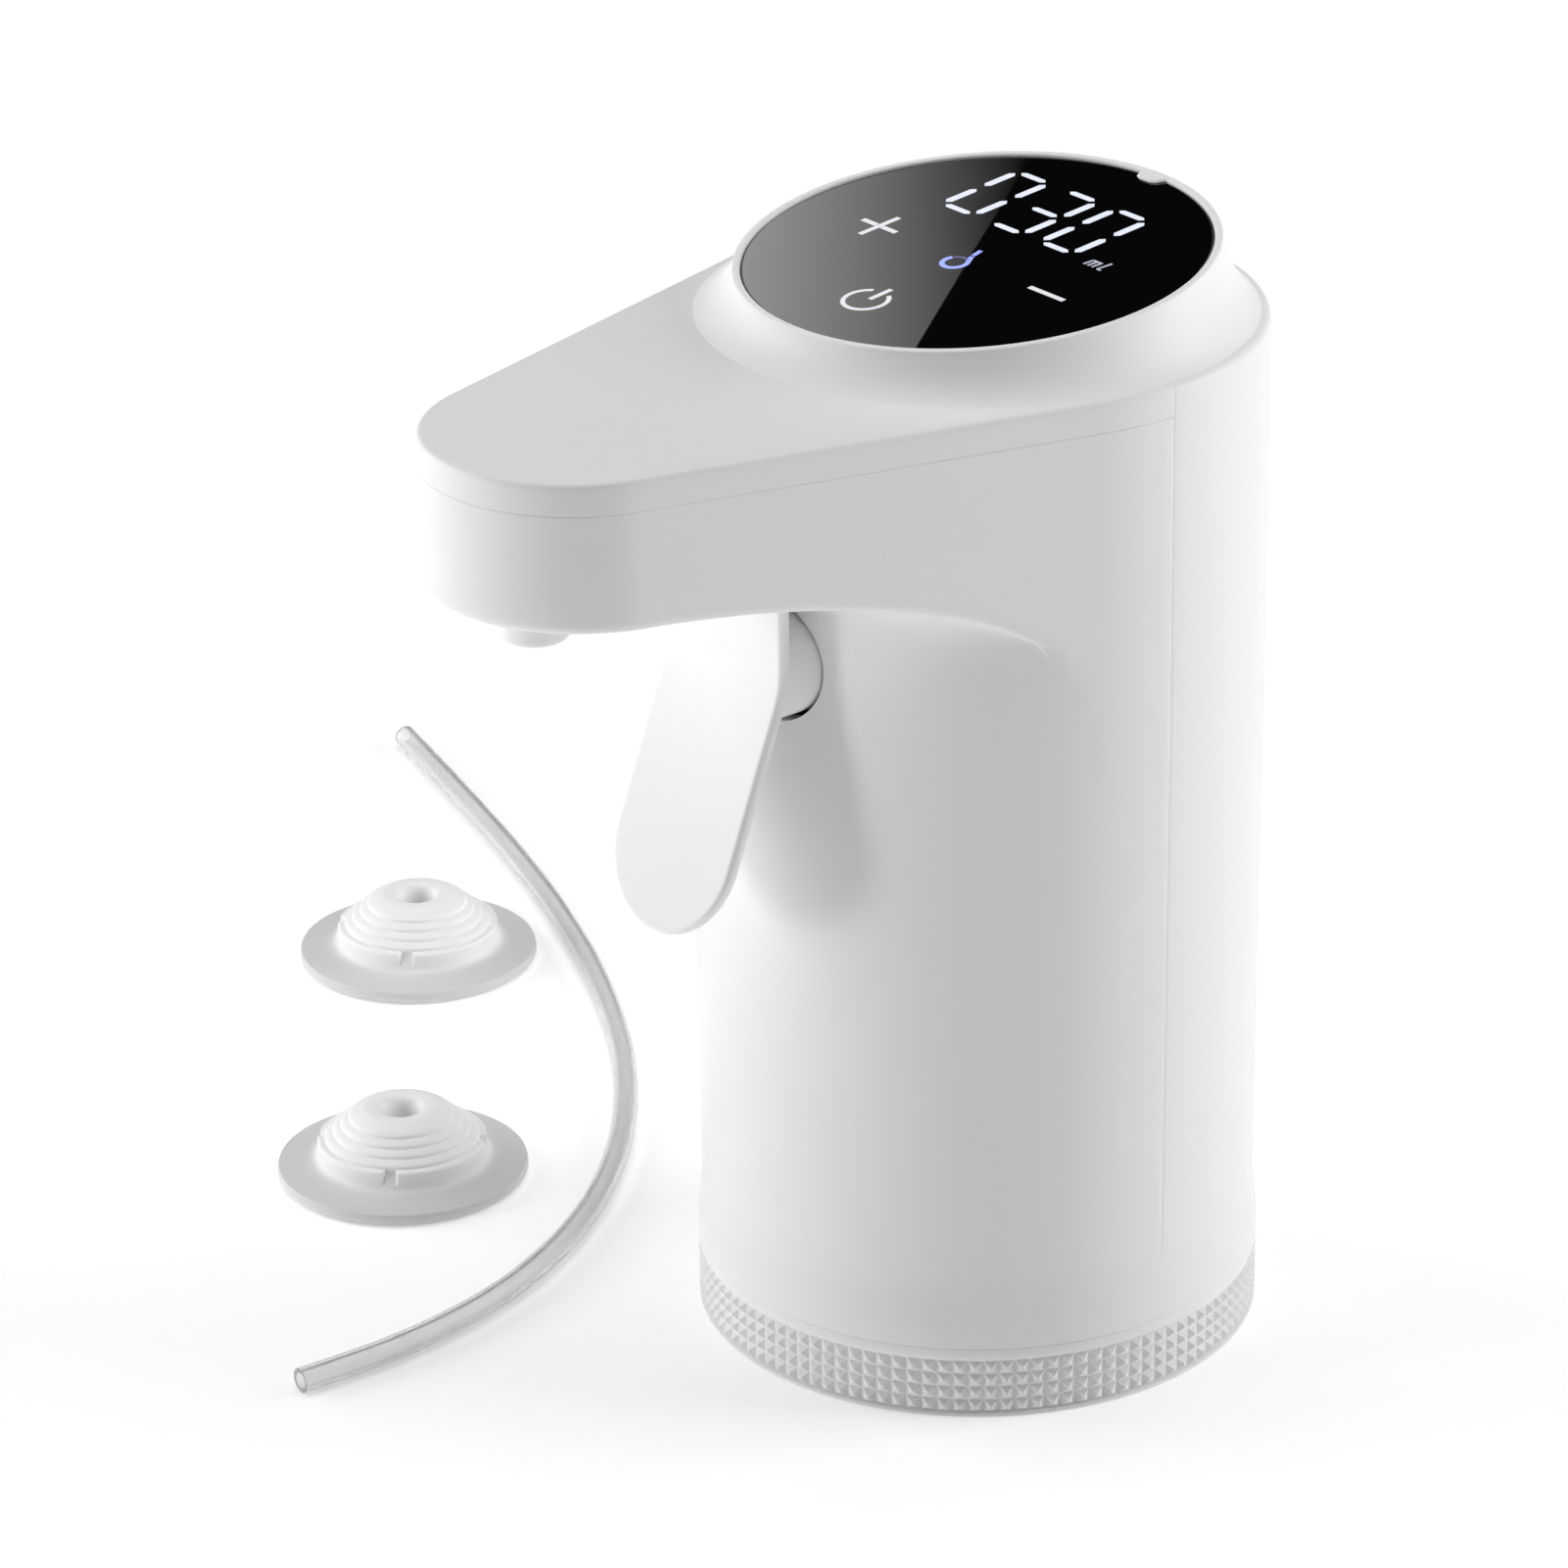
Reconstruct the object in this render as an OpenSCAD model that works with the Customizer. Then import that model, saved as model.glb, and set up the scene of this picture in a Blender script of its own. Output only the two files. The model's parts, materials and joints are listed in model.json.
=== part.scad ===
// Electric wine dispenser: a pump head that stands on a bottle, with an arm, a spout and a trigger.
// Millimetres. Z is up, the spout points to -Y, and the origin is the middle of the foot.

/* [Body] */
// Radius of the body at the shoulder
body_r = 30; // [29:0.25:32]
// Radius that the body loses towards its foot
body_draft = 0.5; // [0:0.1:0.7]
// Height of the arm's flat top above the foot
body_h = 112.4; // [111:0.2:116]
// Thickness of the shells
wall = 2.2; // [2:0.1:2.6]

/* [Arm] */
// Distance from the body's axis to the middle of the round nose
arm_reach = 51.6; // [50:0.2:56]
// Radius of the nose
nose_r = 15.8; // [15:0.1:17]
// Height of the nose
arm_depth = 15.8; // [15:0.1:16.6]
// Fall of the arch under the arm, from the nose to the body
arch_h = 18.2; // [17:0.1:19]
// Depth of the top cover's rim
cover_depth = 3.3; // [3:0.1:3.8]

/* [Display] */
// Radius of the black panel
panel_r = 24.1; // [23:0.1:24.5]
// Thickness of the panel
panel_t = 1.6; // [1.2:0.1:2]
// Tilt of the panel towards the spout, in degrees
panel_tilt = 5.7; // [4:0.1:6.5]
// Height of the panel's middle above the arm's top
panel_rise = 6; // [5.6:0.1:7]
// Width of the rim round the panel
rim_w = 0.9; // [0.6:0.1:1.2]
// Height of the rim above the panel
rim_lip = 0.3; // [0.2:0.05:0.5]
// Step from the shoulder to the edge of the bezel's cove
cove_inset = 1; // [0.6:0.1:1.4]
// Thickness of the light guide under the panel
guide_t = 1.6; // [1.2:0.1:2]
// Thickness of the circuit boards
board_t = 1.4; // [1:0.1:1.6]

/* [Foot] */
// Height of the knurled lock ring
ring_h = 8.5; // [8:0.1:10]
// Step of the lock ring's knurl outside the body's shoulder
ring_out = 0; // [-0.5:0.1:1]
// Radius of the ring's opening for a stopper
socket_r = 11.5; // [10.5:0.1:12.5]
// Thickness of the ring's bottom lip
lip_t = 2.2; // [1.8:0.1:2.6]
// Height of the smooth collar above the ring
collar_h = 6.6; // [6:0.1:8]
// Outer radius of the neck that the ring turns on
neck_r = 24; // [23.5:0.1:24.5]
// Turn of the lock ring from locked to free, in degrees
lock_turn = 40; // [35:1:45]

/* [Trigger] */
// Width of the paddle
paddle_w = 18.2; // [17:0.1:19]
// Thickness of the paddle
paddle_t = 1.4; // [1.2:0.1:1.8]
// Lean of the paddle's lower part, in degrees
paddle_lean = 21.2; // [18:0.2:23]
// Length of the leaning part, down to the middle of its round end
paddle_len = 19.4; // [18:0.1:21]
// Height of the oval boss behind the paddle
boss_h = 12.3; // [11.6:0.1:13]
// Distance of the boss's middle below the arm's top
boss_drop = 30; // [29.5:0.1:30.6]
// Radius of the pivot pin
pivot_r = 1.2; // [1:0.05:1.4]

/* [Pump] */
// Pitch radius of the pump gears
gear_r = 4.8; // [4.6:0.05:5]
// Teeth on each gear
gear_teeth = 12; // [12:1:12]
// Thickness of the gears
gear_t = 5.9; // [5:0.1:6.5]
// Radius of the motor shaft and the idler pin
shaft_r = 1; // [0.8:0.05:1.2]
// Radius of the motor
motor_r = 8; // [7.5:0.1:8.2]
// Length of the motor
motor_len = 25; // [20:1:27]

/* [Battery] */
// Gap between the battery cell and the rear shell
cell_gap = 2.1; // [1.8:0.1:2.5]
// Length of the battery cell
cell_len = 65; // [60:1:67]

/* [Hoses] */
// Outer radius of the inner hoses
hose_r = 2.3; // [2.1:0.1:2.4]
// Bore radius of the inner hoses
hose_bore_r = 1.5; // [1.3:0.05:1.6]
// Outer radius of the spout's nozzle
nozzle_r = 3.6; // [3.4:0.1:3.8]
// Length of the nozzle below the arm
nozzle_drop = 4.9; // [4.4:0.1:5.4]
// Outer radius of the loose suction tube
tube_r = 1.5; // [1.3:0.1:1.8]
// Radius of the inlet's barb
inlet_r = 1; // [0.9:0.05:1.2]

/* [Stopper] */
// Radius of a stopper's flange
flange_r = 14; // [13:0.1:14.4]
// Radius of the step that carries the plug
step_r = 9.4; // [9:0.1:10]
// Radius of the plug's ribs at the step
plug_r = 8.6; // [8:0.1:8.8]
// Length of the plug beyond the step
plug_len = 3.2; // [2.8:0.1:3.8]
// Ribs on the plug
plug_ribs = 4; // [3:1:5]

/* [Fits] */
// Gap between pieces that are fastened together
seat_gap = 0.1; // [0.05:0.01:0.15]
// Gap between pieces that move past each other
move_gap = 0.35; // [0.3:0.05:0.45]
// Radial clearance of a shaft in its bore
run_gap = 0.05; // [0.02:0.01:0.09]

/* [Hidden] */
$fn = 96;
eps = 0.02;

// Body and arm
beta = asin((body_r - nose_r) / arm_reach);
flank_sink = 0.03;
arm_z = body_h - arm_depth;
arch_z = arm_z - arch_h;
arch_y = -arm_reach - nose_r * sin(beta);
arch_a = -body_r * sin(beta) - arch_y;
arch_steps = 20;
seam_z = body_h - cover_depth;
collar_z = ring_h + move_gap;
shell_z = collar_z + collar_h;
foot_r = body_r - body_draft;
ring_r = body_r + ring_out;
cavity_r = foot_r - wall;
front_y = -arm_reach - nose_r - 4;
far = 2 * body_r + arm_reach;
lip_depth = 2;
lip_wall = 1;
lip_root = 3;
lip_end = 6;

// Display
bezel_z = body_h;
open_gap = 0.9;
open_r = panel_r + open_gap;
spigot_t = 2;
spigot_h = 2.8;
panel_z = body_h + panel_rise;
rim_r = panel_r + seat_gap + rim_w;
cove_r = body_r - cove_inset;
panel_ledge = 2.4;
guide_r = panel_r - panel_ledge;
window_r = guide_r + seat_gap;
tab_w = 4.4;
tab_in = 1.1;
cove_turns = 72;
cove_rings = 8;
digit_w = 6;
digit_h = 11;
digit_step = 8;

// Foot
floor_t = 2.4;
floor_z = collar_z + floor_t;
neck_wall = 2.4;
neck_z = lip_t + move_gap;
recess_r = flange_r + 0.6;
recess_wall = 1.8;
groove_d = 1.1;
groove_z = neck_z + 1.4;
lug_h = 1.5;
lugs = 3;
lug_span = 24;
pillar_r = 3.2;
pillar_h = 2;
pillar_at = 20;
frame_z = floor_z + pillar_h;
frame_t = 2;
frame_r = cavity_r - 2.6;
spigot_z = frame_z + frame_t + 2;
screw_r = 0.9;
head_r = 1.8;
head_h = 1.3;
head_in = 0.5;
foot_head_r = 1.4;
grip_bevel = 0.8;
seal_bore = 8;
seal_t = 1.9;
fitting_r = 5;
fitting_sink = 0.6;
fitting_flange = 6.6;
fitting_t = 1.2;
inlet_bore = 0.6;

// Gear pump
pump_y = -4.5;
gear_x = gear_r;
gear_out = gear_r + 0.7;
gear_root = gear_r - 0.95;
pump_floor = 2;
pump_z = frame_z + frame_t + 7.8;
gear_z = pump_z + pump_floor + seat_gap;
pump_top = gear_z + gear_t + seat_gap;
plate_t = 2.9;
motor_z = pump_top + plate_t;
pump_low = [-15, -15];
pump_high = [20, 4];
pump_screws_at = [[-12.4, -12.4], [-12.4, 2], [9.5, -12.4], [9.5, 2]];
outlet_at = [14.6, -7.5];
port_r = 0.8;
riser_r = 1.1;
barb_len = 4.5;
spine_y = pump_high[1] + 0.3;
spine_t = 1.6;
spine_w = 42;
spine_top = seam_z - 5;
cell_seat = 0.9;
cell_front = spine_y + spine_t + cell_seat;
cell_r = (cavity_r - cell_gap - cell_front) / 2;
cell_y = cell_front + cell_r;
cell_z = pump_z + 3;
clip_t = 1.5;
clip_low = 12;
clip_high = 16;
clip_arm = 5;
motor_boss = 1.6;
clamp_t = 1.7;
clamp_h = 8;
clamp_up = 10;
clamp_z = motor_z + clamp_up;
clamp_ear = 6;
clamp_foot = 2;
gland_r = 2.6;
gland_h = 1.4;
pin_sink = 1.3;
pump_well = 2;
pump_wells = [-0.4, -8.6];

// Trigger
hinge_in = 2;
hinge_y = hinge_in - body_r;
hinge_drop = 12.4;
hinge_z = body_h - hinge_drop;
boss_z = body_h - boss_drop;
boss_up = 0.4;
boss_in = 5.6;
boss_back = boss_in - cavity_r;
paddle_out = 3.7;
paddle_y = -body_r - paddle_out;
paddle_drop = 19;
paddle_top = body_h - paddle_drop;
bend_drop = 0.3;
bend_z = boss_z - bend_drop;
bracket_drop = 2.3;
hub_r = 3;
hub_in = 6.2;
hub_w = paddle_w - hub_in;
bracket_t = 2.2;
bracket_w = 6;
neck_t = 2.2;
web_h = 3.6;

// Boards and switch
mount_in = 10.7;
mount_y = boss_back + mount_in;
main_w = 23.6;
main_z = motor_z + motor_len + 3.4;
main_top = spine_top - 3.2;
post_r = 2;
post_x = 9.6;
post_in = 3.5;
post_zs = [main_z + post_in, main_top - post_in];
post_screw = 5;
driver_w = 8;
driver_t = 1.2;
driver_up = 12;
coil_w = 5;
coil_h = 4;
coil_t = 2;
coil_up = 26;
coil_x = 6;
switch_size = [12.8, 6, 6];
switch_y = mount_y - board_t - switch_size[1];
plunger_r = 1.2;
plunger_in = 1.8;
plunger_travel = 1.5;
touch_gap = 0.2;

// Return spring between the boss and the board
spring_r = 1.5;
wire_r = 0.25;
spring_turns = 6;
spring_rings = 12;
wire_sides = 6;
spring_z = boss_z - switch_size[2] / 2 - move_gap - wire_r - spring_r;

// Outlet hose
bend_r = 10;
hose_over = 0.7;
hose_z = hinge_z + hub_r + hose_over + hose_r;
nozzle_out = 5.8;
nozzle_y = -arm_reach - nozzle_out;
turn = atan2(outlet_at[0], outlet_at[1] - nozzle_y);
run_len = norm([outlet_at[0], outlet_at[1] - nozzle_y]);
nozzle_z = arm_z - nozzle_drop;
nozzle_bore = 1.6;
nozzle_flange = 1;
nozzle_cap = 2.4;
spout_stem = 3.5;

// Charge socket
charge_size = [16, 10];
port_size = [9, 7.4, 3.3];
port_z = frame_z + frame_t + 3.2;
port_sink = 0.6;
port_y = foot_r - port_sink;
port_wall = 0.4;

// Loose pieces: where the stoppers stand and the points that the tube follows on the floor
plug_tip_r = 5;
plug_crown = 0.4;
stopper_a_at = [-106, 4];
stopper_b_at = [-62, -31];
tube_route = [[-156.2, 39.5], [-148.3, 37.2], [-140.2, 34.8], [-132, 32.3], [-123.6, 29.7], [-115.1, 26.8],
    [-106.7, 23.8], [-98.3, 20.4], [-90, 16.8], [-81.9, 12.8], [-74.1, 8.5], [-66.5, 3.8], [-59.4, -1.4],
    [-52.6, -7], [-46.4, -13.2], [-40.9, -19.8], [-36.1, -26.9], [-32.2, -34.5], [-29.3, -42.5],
    [-27.6, -51.1], [-27, -60.2], [-27.8, -69.8]];
tube_sides = 8;

// Shared shapes

module tube_z(r, bore, z0, z1) {
    translate([0, 0, z0])
        difference() {
            cylinder(h = z1 - z0, r = r);
            translate([0, 0, -1]) cylinder(h = z1 - z0 + 2, r = bore);
        }
}

module rod_z(r, z0, z1) {
    translate([0, 0, z0]) cylinder(h = z1 - z0, r = r);
}

module rod_x(r, length) {
    rotate([0, 90, 0]) cylinder(h = length, r = r, center = true);
}

module rod_y(r, y0, y1) {
    translate([0, y0, 0]) rotate([-90, 0, 0]) cylinder(h = y1 - y0, r = r);
}

// Outline in the YZ plane, spread along X about the middle
module slab_x(points, width) {
    translate([-width / 2, 0, 0]) rotate([90, 0, 90]) linear_extrude(width) polygon(points);
}

module half_space(side) {
    translate([-far, side > 0 ? seat_gap / 2 : -2 * far - seat_gap / 2, -far])
        cube([2 * far, 2 * far, 4 * far]);
}

// Plan of the arm, drawn in by d: the round nose and the two flanks that leave the body
module arm_plan(d, z0, z1) {
    a = body_r - flank_sink - d;
    b = nose_r - flank_sink - d;
    translate([0, -arm_reach, 0]) rod_z(nose_r - d, z0, z1);
    translate([0, 0, z0])
        linear_extrude(z1 - z0)
            polygon([[a * cos(beta), -a * sin(beta)], [b * cos(beta), -arm_reach - b * sin(beta)],
                [-b * cos(beta), -arm_reach - b * sin(beta)], [-a * cos(beta), -a * sin(beta)]]);
}

// Everything below the arch, lowered or raised by d
module under_arch(d) {
    arc = [for (i = [0:arch_steps])
        [arch_y + (arch_a + d) * cos(90 * i / arch_steps), arch_z + (arch_h + d) * sin(90 * i / arch_steps)]];
    slab_x(concat(arc, [[front_y - 10, arm_z + d], [front_y - 10, arch_z - 1],
        [arch_y + arch_a + d, arch_z - 1]]), far);
}

module arm(d, z1) {
    difference() {
        arm_plan(d, arch_z, z1);
        under_arch(d);
    }
}

module body_round(z1) {
    translate([0, 0, shell_z]) cylinder(h = arch_z - shell_z, r1 = foot_r, r2 = body_r);
    rod_z(body_r, arch_z, z1);
}

module oval(w, h, y0, y1) {
    for (side = [-1, 1])
        translate([side * (w - h) / 2, 0, 0]) rod_y(h / 2, y0, y1);
    translate([-(w - h) / 2, y0, -h / 2]) cube([w - h, y1 - y0, h]);
}

module tilted() {
    translate([0, 0, panel_z]) rotate([panel_tilt, 0, 0]) children();
}

// Shells

module front_shell() {
    color("whitesmoke")
        difference() {
            union() {
                difference() {
                    union() {
                        intersection() {
                            body_round(seam_z);
                            half_space(-1);
                        }
                        arm(0, seam_z);
                    }
                    rod_z(cavity_r, shell_z - 1, body_h);
                    arm(wall, body_h);
                }
                seam_lip();
                for (side = [-1, 1])
                    translate([side * (hub_w / 2 + move_gap + bracket_t / 2), 0, 0]) hinge_bracket();
            }
            translate([0, 0, boss_z + boss_up])
                oval(paddle_w + 2 * move_gap, boss_h + 3.2 * move_gap, -body_r - 2, -cavity_r + wall);
            translate([-hub_w / 2 - move_gap, paddle_y - 1.5 * move_gap, arm_z - wall - 4])
                cube([hub_w + 2 * move_gap, neck_t + 4 * move_gap, wall + 6]);
            translate([0, nozzle_y, 0]) rod_z(nozzle_r + seat_gap, arm_z - 1, arm_z + wall + 1);
            translate([0, hinge_y, hinge_z]) rod_x(pivot_r + run_gap, 3 * hub_w);
        }
}

// Tongue that holds the two halves in line
module seam_lip() {
    difference() {
        intersection() {
            tube_z(cavity_r + eps, cavity_r - lip_wall, shell_z + lip_end, seam_z - lip_end);
            translate([-far, -lip_root, 0]) cube([2 * far, lip_root + lip_depth, far]);
        }
        intersection() {
            translate([0, -seat_gap, 0]) half_space(1);
            tube_z(body_r, cavity_r - seat_gap, 0, body_h);
        }
    }
}

module hinge_bracket() {
    low = arm_z - bracket_drop;
    slab_x([[hinge_y - bracket_w / 2, low], [hinge_y + bracket_w / 2, low],
        [hinge_y + bracket_w / 2, hinge_z + hub_r], [hinge_y - bracket_w / 2, hinge_z + hub_r]], bracket_t);
}

module rear_shell() {
    color("whitesmoke")
        difference() {
            intersection() {
                body_round(body_h);
                half_space(1);
            }
            rod_z(cavity_r, shell_z - 1, body_h - wall);
            rod_z(open_r, body_h - wall - 1, body_h + 1);
            translate([0, port_y, port_z])
                oval(port_size[0] + 2 * seat_gap, port_size[2] + 2 * seat_gap, -4, 4);
        }
}

module top_cover() {
    color("whitesmoke")
        difference() {
            union() {
                intersection() {
                    rod_z(body_r, seam_z + seat_gap, body_h);
                    half_space(-1);
                }
                arm_plan(0, seam_z + seat_gap, body_h);
                cover_lip();
            }
            rod_z(cavity_r, seam_z, body_h - wall);
            arm_plan(wall + lip_wall + seat_gap, seam_z - lip_depth - 1, body_h - wall);
            rod_z(open_r, seam_z - lip_depth - 1, body_h + 1);
        }
}

// Rim that drops inside the arm's walls
module cover_lip() {
    difference() {
        arm_plan(wall + seat_gap, seam_z - lip_depth, body_h - wall + eps);
        arm_plan(wall + seat_gap + lip_wall, seam_z - lip_depth - 1, body_h);
        rod_z(cavity_r + 1, seam_z - lip_depth - 1, body_h);
    }
}

// Display

// Loft of the cove: from a level circle on the shoulder to the tilted rim
function cove_point(turn_i, ring_i) =
    let (th = 360 * turn_i / cove_turns, ph = 90 * ring_i / cove_rings)
    let (rim_y = rim_r * sin(th) * cos(panel_tilt) - rim_lip * sin(panel_tilt))
    let (rim_z = panel_z + rim_r * sin(th) * sin(panel_tilt) + rim_lip * cos(panel_tilt))
    [cove_r * cos(th) + (rim_r - cove_r) * cos(th) * sin(ph),
     cove_r * sin(th) + (rim_y - cove_r * sin(th)) * sin(ph),
     bezel_z + (rim_z - bezel_z) * (1 - cos(ph))];

module cove_solid() {
    points = [for (k = [0:cove_rings]) for (i = [0:cove_turns - 1]) cove_point(i, k)];
    sides = [for (k = [0:cove_rings - 1]) for (i = [0:cove_turns - 1])
        let (a = k * cove_turns + i, b = k * cove_turns + (i + 1) % cove_turns)
        each [[a, a + cove_turns, b + cove_turns], [a, b + cove_turns, b]]];
    bottom = [for (i = [0:cove_turns - 1]) i];
    top = [for (i = [0:cove_turns - 1]) cove_rings * cove_turns + cove_turns - 1 - i];
    polyhedron(points, concat(sides, [bottom, top]), convexity = 6);
}

module display_bezel() {
    color("white")
        difference() {
            union() {
                cove_solid();
                tube_z(open_r - seat_gap, open_r - seat_gap - spigot_t, bezel_z - spigot_h, bezel_z + 1);
            }
            difference() {
                tilted() rod_z(panel_r + seat_gap, -panel_t, rim_lip + 2);
                tilted() panel_tab();
            }
            tilted() rod_z(window_r, -panel_t - 2 * panel_rise, 0);
        }
}

module panel_tab() {
    translate([-tab_w / 2, panel_r - tab_in, -panel_t / 2]) cube([tab_w, tab_in + 2, panel_t + rim_lip + 4]);
}

module display_panel() {
    color("black")
        tilted()
            difference() {
                rod_z(panel_r, seat_gap - panel_t, 0);
                translate([-tab_w / 2 - seat_gap, panel_r - tab_in - seat_gap, -panel_t])
                    cube([tab_w + 2 * seat_gap, tab_in + 1, 2 * panel_t]);
            }
}

// White frame that keeps each digit's light apart
module light_guide() {
    color("white")
        tilted()
            difference() {
                rod_z(guide_r, -panel_t - guide_t, -panel_t);
                for (i = [-1:1])
                    translate([i * digit_step - digit_w / 2, digit_h / 2, -panel_t - guide_t - 1])
                        cube([digit_w, digit_h, guide_t + 2]);
            }
}

module display_board() {
    color("darkgreen")
        tilted() rod_z(guide_r, -panel_t - guide_t - board_t - seat_gap, -panel_t - guide_t - seat_gap);
}

// Foot

module foot_collar() {
    color("whitesmoke")
        difference() {
            union() {
                translate([0, 0, collar_z]) cylinder(h = collar_h - seat_gap, r1 = ring_r, r2 = foot_r);
                rod_z(cavity_r - seat_gap, floor_z - 1, spigot_z);
                tube_z(neck_r, neck_r - neck_wall, neck_z, floor_z - 1);
                tube_z(recess_r + recess_wall, recess_r, neck_z + 1, floor_z - 1);
            }
            rod_z(frame_r + seat_gap, floor_z, spigot_z + 1);
            rod_z(fitting_r, 0, floor_z + 1);
            translate([0, 0, groove_z])
                tube_z(neck_r + 1, neck_r - groove_d, 0, lug_h + 2 * move_gap);
            for (i = [0:lugs - 1])
                rotate(360 * i / lugs + lock_turn) lug_cut();
            for (i = [0:2])
                rotate(120 * i + 90) translate([pillar_at, 0, 0]) rod_z(screw_r + seat_gap, 0, floor_z + 1);
            translate([0, port_y, port_z])
                oval(port_size[0] + 4, port_size[2] + 2.4, -8, 4);
        }
}

// Way in for a lug, from below the neck to its groove
module lug_cut() {
    rotate(-lug_span / 2 - 3)
        translate([0, 0, neck_z - 1])
            rotate_extrude(angle = lug_span + 6)
                translate([neck_r - groove_d + eps, 0]) square([groove_d + 1, groove_z - neck_z + 2]);
}

module lock_ring() {
    color("whitesmoke") {
        rotate_extrude()
            polygon([[socket_r, 0], [ring_r - grip_bevel, 0], [ring_r, grip_bevel], [ring_r, ring_h],
                [neck_r + move_gap, ring_h], [neck_r + move_gap, lip_t], [socket_r, lip_t]]);
        for (i = [0:lugs - 1])
            rotate(360 * i / lugs - lug_span / 2)
                translate([0, 0, groove_z + move_gap])
                    rotate_extrude(angle = lug_span)
                        translate([neck_r - groove_d + move_gap, 0]) square([groove_d + 0.5, lug_h]);
    }
}

module socket_seal() {
    color("gainsboro") tube_z(recess_r - seat_gap, seal_bore, collar_z - seal_t, collar_z);
}

module inlet_fitting() {
    color("white")
        difference() {
            union() {
                rod_z(inlet_r, neck_z, floor_z);
                rod_z(fitting_r - seat_gap, collar_z - fitting_sink, floor_z + eps);
                rod_z(fitting_flange, floor_z, floor_z + fitting_t);
                rod_z(hose_bore_r - run_gap, floor_z, floor_z + fitting_t + barb_len);
            }
            rod_z(inlet_bore, 0, floor_z + fitting_t + barb_len + 1);
        }
}

module inlet_hose() {
    color("gainsboro") tube_z(hose_r, hose_bore_r, floor_z + fitting_t + seat_gap, pump_z - seat_gap);
}

// Inner frame: a round floor, an upright spine, posts for the board and clips for the battery

module inner_frame() {
    color("gainsboro")
        difference() {
            union() {
                rod_z(frame_r, frame_z + seat_gap, frame_z + frame_t);
                for (i = [0:2])
                    rotate(120 * i + 90) translate([pillar_at, 0, 0]) rod_z(pillar_r, floor_z + seat_gap, frame_z + 1);
                for (at = pump_screws_at)
                    translate(at) rod_z(pillar_r - 0.4, frame_z + 1, pump_z - seat_gap);
                translate([-spine_w / 2, spine_y, frame_z + 1]) cube([spine_w, spine_t, spine_top - frame_z - 1]);
                for (x = [-post_x, post_x])
                    for (z = post_zs)
                        translate([x, 0, z]) rod_y(post_r, mount_y + seat_gap, spine_y + 1);
                battery_clips();
            }
            rod_z(hose_r + 1, 0, pump_z);
            for (at = pump_screws_at)
                translate(at) rod_z(screw_r, frame_z, pump_z + 1);
            for (i = [0:2])
                rotate(120 * i + 90) translate([pillar_at, 0, 0]) rod_z(screw_r, 0, frame_z + 1);
            for (x = [-post_x, post_x])
                for (z = post_zs)
                    translate([x, 0, z]) rod_y(screw_r, mount_y - 1, mount_y + post_screw + 1);
            for (side = [-1, 1])
                translate([clamp_x(side), 0, clamp_z + clamp_h / 2]) rod_y(screw_r, spine_y - 1, spine_y + spine_t + 1);
        }
}

function clamp_x(side) = -gear_x + side * (motor_r + clamp_t + clamp_ear / 2);

module battery_clips() {
    difference() {
        intersection() {
            translate([0, cell_y, 0]) {
                rod_z(cell_r + clip_t, cell_z - frame_t, cell_z);
                for (z = [cell_z + clip_low, cell_z + cell_len - clip_high])
                    tube_z(cell_r + clip_t, cell_r + seat_gap, z, z + clamp_h);
            }
            rod_z(frame_r, 0, body_h);
        }
        translate([-far, spine_y - far, 0]) cube([2 * far, far, 2 * far]);
        translate([-far, cell_y + clip_arm, cell_z + 1]) cube([2 * far, far, cell_len]);
    }
}

module battery_cell() {
    color("royalblue") translate([0, cell_y, 0]) rod_z(cell_r, cell_z, cell_z + cell_len);
}

module foot_screws() {
    color("silver")
        for (i = [0:2])
            rotate(120 * i + 90)
                translate([pillar_at, 0, 0]) {
                    rod_z(screw_r - eps, collar_z - head_in, frame_z);
                    rod_z(foot_head_r, collar_z - head_h, collar_z);
                }
}

// Gear pump

module pump_block(z0, z1) {
    translate([pump_low[0], pump_low[1], z0])
        cube([pump_high[0] - pump_low[0], pump_high[1] - pump_low[1], z1 - z0]);
}

module pump_housing() {
    color("ivory")
        difference() {
            union() {
                pump_block(pump_z, pump_top);
                rod_z(hose_bore_r - run_gap, pump_z - barb_len, pump_z + 1);
            }
            for (side = [-1, 1])
                translate([side * gear_x, pump_y, 0]) {
                    rod_z(gear_out + 0.2, pump_z + pump_floor, pump_top + 1);
                    rod_z(shaft_r + (side < 0 ? run_gap : eps), pump_z + 0.8, pump_top);
                }
            for (y = pump_wells)
                translate([0, y, 0]) rod_z(pump_well, pump_z + pump_floor, pump_top + 1);
            rod_z(port_r, 0, pump_z + pump_floor + 1);
            translate([0, outlet_at[1], gear_z + gear_t / 2]) rotate([0, 90, 0]) cylinder(h = outlet_at[0], r = port_r);
            translate(outlet_at) rod_z(riser_r, gear_z + gear_t / 2 - riser_r, pump_top + 1);
            for (at = pump_screws_at)
                translate(at) rod_z(screw_r + seat_gap, pump_z - 1, pump_top + 1);
        }
}

module pump_cover() {
    color("ivory")
        difference() {
            union() {
                pump_block(pump_top, motor_z);
                translate(outlet_at) rod_z(hose_bore_r - run_gap, pump_top, motor_z + barb_len);
            }
            translate([-gear_x, pump_y, 0]) {
                rod_z(shaft_r + run_gap, pump_top - 1, motor_z + 1);
                rod_z(gland_r + seat_gap, motor_z - gland_h, motor_z + 1);
            }
            translate([gear_x, pump_y, 0]) rod_z(shaft_r + eps, pump_top - 1, pump_top + pin_sink + seat_gap);
            translate(outlet_at) rod_z(port_r, 0, motor_z + barb_len + 1);
            for (at = pump_screws_at)
                translate(at) rod_z(screw_r + seat_gap, pump_top - 1, motor_z + 1);
        }
}

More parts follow.
